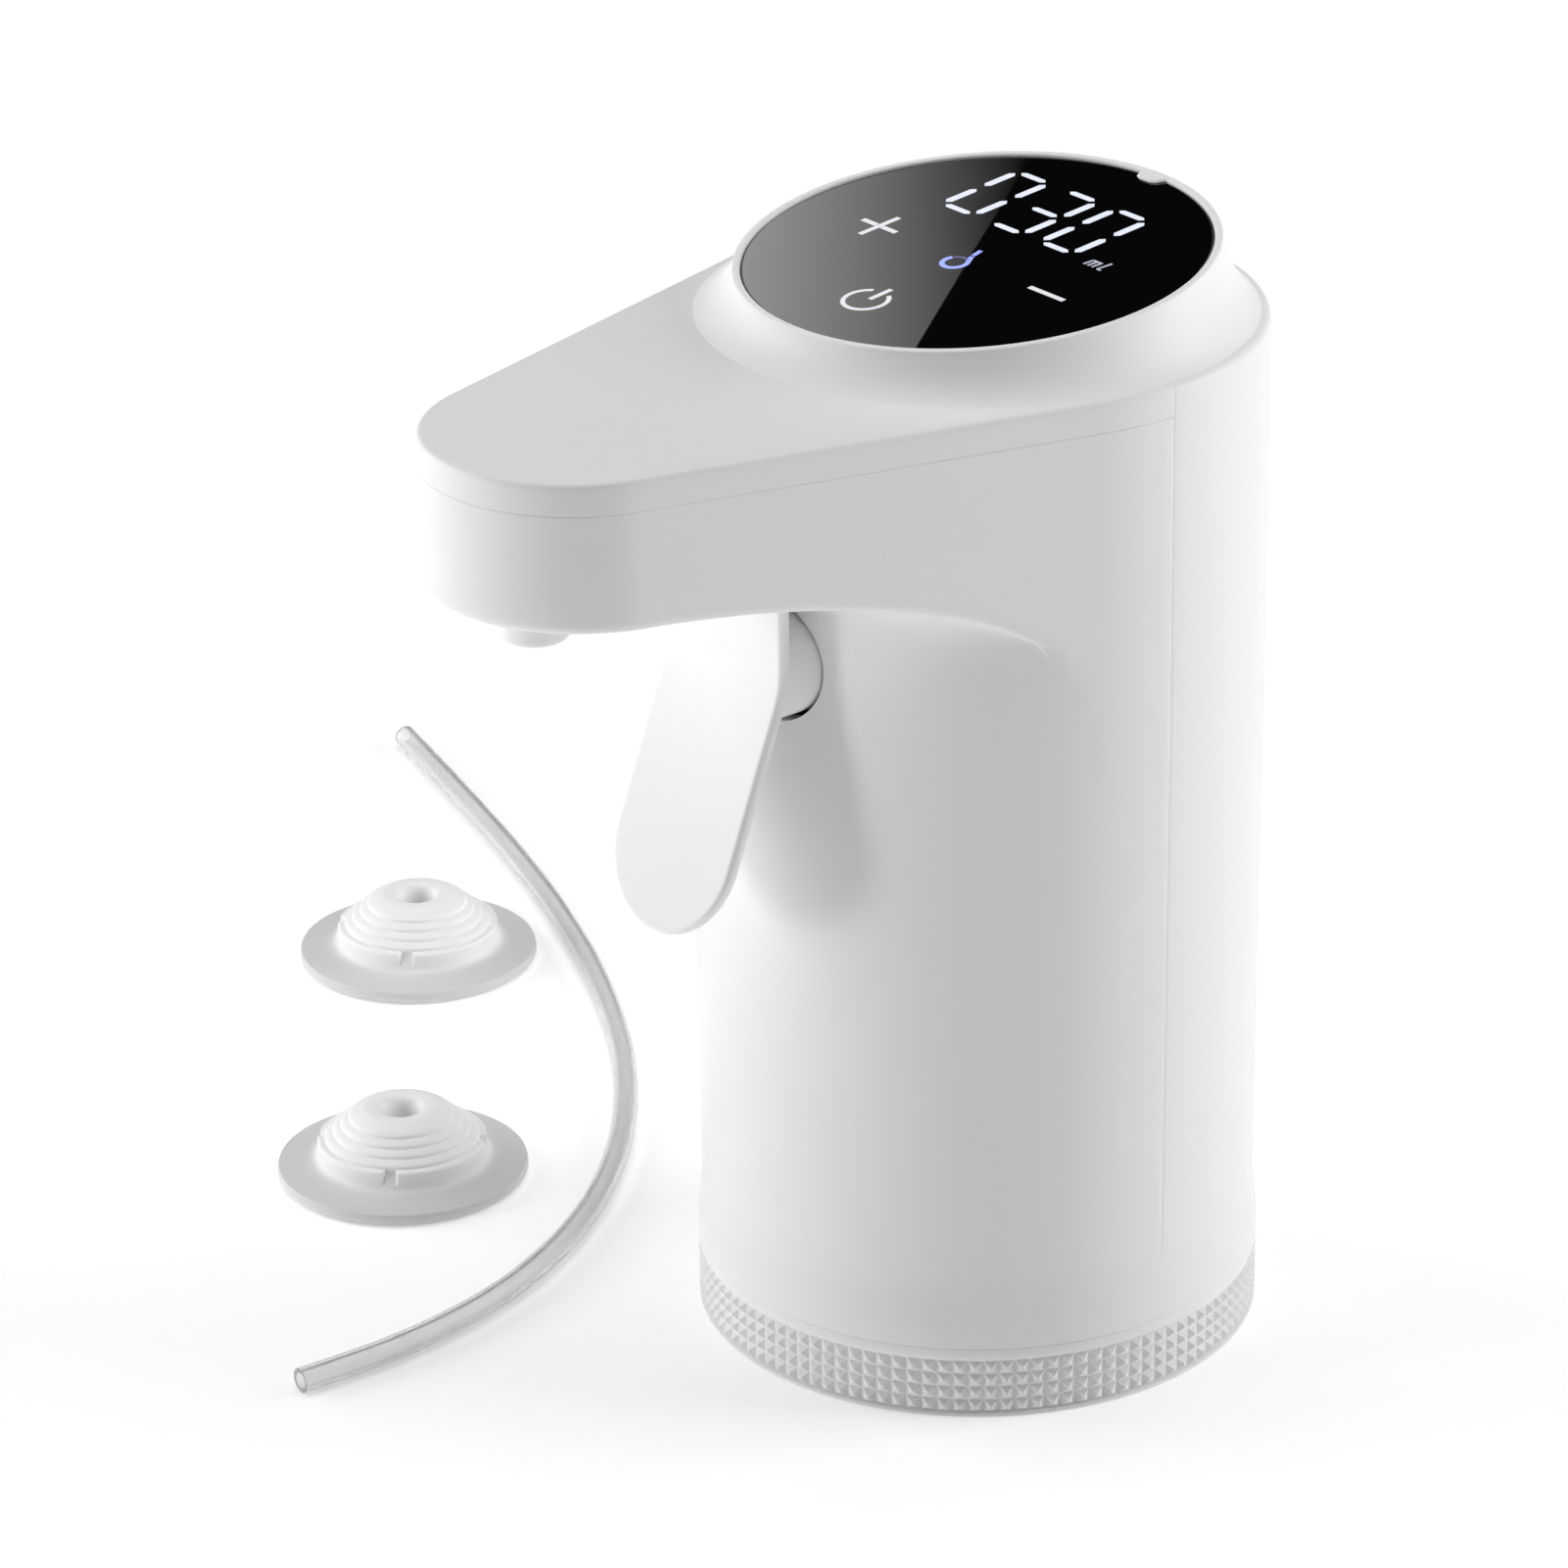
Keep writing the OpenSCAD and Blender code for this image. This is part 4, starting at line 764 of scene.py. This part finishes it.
for name, spot in (("stopper_a", (-106, 4)), ("stopper_b", (-62, -31))):
    stopper = turned(name + "_skin", stopper_section, silicone, at=spot, sides=192, shape=notched)
    # Mask for the flange's painted shade: none on the plug, full on the flange beyond the step.
    layer = stopper.data.attributes.new("painted_flange_shade", "FLOAT", "POINT")
    for value, vertex in zip(layer.data, stopper.data.vertices):
        value.value = ease((math.hypot(vertex.co.x / MM - spot[0], vertex.co.y / MM - spot[1]) - 9.3) / 1.2)
    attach(stopper, name)
    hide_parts(name)

# Inner pieces: the pump, motor, cell, boards, hoses and fixings keep their exact shapes.
# Each is given the plain finish of its material.


def metal(name, colour, rough):
    """Bright turned or drawn metal with fine lines round it."""
    material, tree, shader, node = new_material(name)
    where = node("ShaderNodeTexCoord")
    lines = node("ShaderNodeTexWave", bands_direction="Z")
    lines.inputs["Scale"].default_value = 900
    lines.inputs["Distortion"].default_value = 2
    tree.links.new(where.outputs["Object"], lines.inputs["Vector"])
    gloss = node("ShaderNodeMapRange")
    gloss.inputs["To Min"].default_value = rough - 0.06
    gloss.inputs["To Max"].default_value = rough + 0.06
    tree.links.new(lines.outputs["Fac"], gloss.inputs["Value"])
    tree.links.new(gloss.outputs["Result"], shader.inputs["Roughness"])
    shader.inputs["Base Color"].default_value = (*colour, 1)
    shader.inputs["Metallic"].default_value = 1
    return material


finishes = {
    "natural_plastic": moulded("natural_plastic", (0.75, 0.74, 0.7), 0.45),
    "circuit_board": moulded("circuit_board", (0.02, 0.16, 0.06), 0.3, coat=0.3),
    "silicone": silicone,
    "steel": metal("steel", (0.62, 0.62, 0.61), 0.28),
    "motor_can": metal("motor_can", (0.55, 0.56, 0.57), 0.35),
    "black_rubber": moulded("black_rubber", (0.02, 0.02, 0.02), 0.6),
    "gear_plastic": moulded("gear_plastic", (0.72, 0.62, 0.36), 0.4),
    "black_plastic": moulded("black_plastic", (0.025, 0.025, 0.025), 0.42),
    "red_plastic": moulded("red_plastic", (0.45, 0.03, 0.03), 0.38),
    "cell_wrap": moulded("cell_wrap", (0.03, 0.1, 0.42), 0.25, grain=0.01),
}
for entry in frame["record"]["subparts"]:
    cad = frame["nodes"][entry["node"]]
    if entry["material_slot"] in finishes:
        cad.data.materials.clear()
        cad.data.materials.append(finishes[entry["material_slot"]])

# Studio: a white light table that glows more further out, and soft lights at the sides, above and behind.
# A lit card and a black one stand behind on the left, where the glossy panel mirrors them.
GLOW_NEAR, GLOW_FAR, FLOOR_HALF = 0.28, 0.6, 6000
floor_material, tree, shader, node = new_material("floor")
uneven(tree, node, shader.inputs["Roughness"], 0.58, 0.64, 3)
shader.inputs["Base Color"].default_value = (0.9, 0.9, 0.9, 1)
shader.inputs["Emission Color"].default_value = (1, 1, 1, 1)
away = node("ShaderNodeVectorMath", operation="LENGTH")
tree.links.new(node("ShaderNodeTexCoord").outputs["Object"], away.inputs[0])
glow = node("ShaderNodeMapRange")
for name, value in (("From Min", 0.25), ("From Max", 0.8), ("To Min", GLOW_NEAR), ("To Max", GLOW_FAR)):
    glow.inputs[name].default_value = value
tree.links.new(away.outputs["Value"], glow.inputs["Value"])
tree.links.new(glow.outputs["Result"], shader.inputs["Emission Strength"])
signs = ((-1, -1), (1, -1), (1, 1), (-1, 1))
floor = mesh_piece("floor", [(x * FLOOR_HALF, y * FLOOR_HALF, -0.02) for x, y in signs],
                   [(0, 1, 2, 3)], floor_material, smooth=False)
floor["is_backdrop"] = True


def mirrored(x, y, reach):
    """Where the view of a spot on the panel goes after the panel mirrors it, in millimetres."""
    normal = Vector((0, -math.sin(TILT), math.cos(TILT)))
    spot = Vector(tilted(x, y, 0))
    way = (spot - place / MM).normalized()
    return spot + (way - 2 * way.dot(normal) * normal) * reach


def card(name, corners, glow, reach):
    """A card that fills a region of the panel's mirror image; its glow changes evenly along x and y."""
    material, tree, shader, node = new_material(name)
    shader.inputs["Base Color"].default_value = (0.004, 0.004, 0.004, 1)
    shader.inputs["Specular IOR Level"].default_value = 0
    shader.inputs["Emission Color"].default_value = (1, 1, 1, 1)
    level = node("ShaderNodeAttribute", attribute_name="glow")
    tree.links.new(level.outputs["Fac"], shader.inputs["Emission Strength"])
    rows, columns = 9, 9
    points, levels = [], []
    for i in range(rows):
        for j in range(columns):
            u, v = i / (rows - 1), j / (columns - 1)
            share = ((1 - u) * (1 - v), u * (1 - v), u * v, (1 - u) * v)
            x, y = [sum(w * c[k] for w, c in zip(share, corners)) for k in (0, 1)]
            points.append(mirrored(x, y, reach))
            levels.append(max(0, glow[0] + glow[1] * x + glow[2] * y))
    piece = mesh_piece(name, points, grid_faces(rows, columns), material)
    layer = piece.data.attributes.new("glow", "FLOAT", "POINT")
    for spot, level in zip(layer.data, levels):
        spot.value = level
    piece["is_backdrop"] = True


edge_top, edge_low, beyond = (-25.5, 35.9), (24.8, -36.0), (-49, -34)
card("lit_card", [edge_top, edge_low, (edge_low[0] + beyond[0], edge_low[1] + beyond[1]),
                  (edge_top[0] + beyond[0], edge_top[1] + beyond[1])], (0.3, -0.048, -0.06), 1000)
card("black_card", [(x * 70, y * 70) for x, y in signs], (0, 0, 0), 1050)


def soft_light(name, turn, rise, size, power):
    """A soft light panel 0.9 m from the piece, turned to the right of the camera and raised, in degrees."""
    a, e = math.radians(turn), math.radians(rise)
    aim = Vector((0, -0.02, 0.06))
    ahead = Vector((view_back.x, view_back.y, 0)).normalized()
    way = math.cos(e) * (math.sin(a) * view_right + math.cos(a) * ahead) + Vector((0, 0, math.sin(e)))
    light = bpy.data.objects.new(name, bpy.data.lights.new(name, "AREA"))
    bpy.context.scene.collection.objects.link(light)
    light.data.shape = "RECTANGLE"
    light.data.size, light.data.size_y = size
    light.data.energy = power
    light.matrix_world = Matrix.Translation(aim + 0.9 * way) @ way.to_track_quat("Z", "Y").to_matrix().to_4x4()
    light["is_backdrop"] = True


soft_light("left_light", -108, 18, (0.75, 0.7), 4.9)
soft_light("key_light", -70, 5, (0.16, 0.26), 2)
soft_light("right_light", 95, 18, (0.5, 0.7), 5.5)
soft_light("top_light", 0, 90, (0.7, 0.7), 4)
soft_light("back_light", 180, 55, (0.7, 0.5), 0.7)
bpy.context.scene.view_settings.view_transform = "Standard"
world = bpy.data.worlds.new("studio")
bpy.context.scene.world = world
world.use_nodes = True
world.node_tree.nodes["Background"].inputs["Color"].default_value = (1, 1, 1, 1)
world.node_tree.nodes["Background"].inputs["Strength"].default_value = 0.02

low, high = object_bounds()
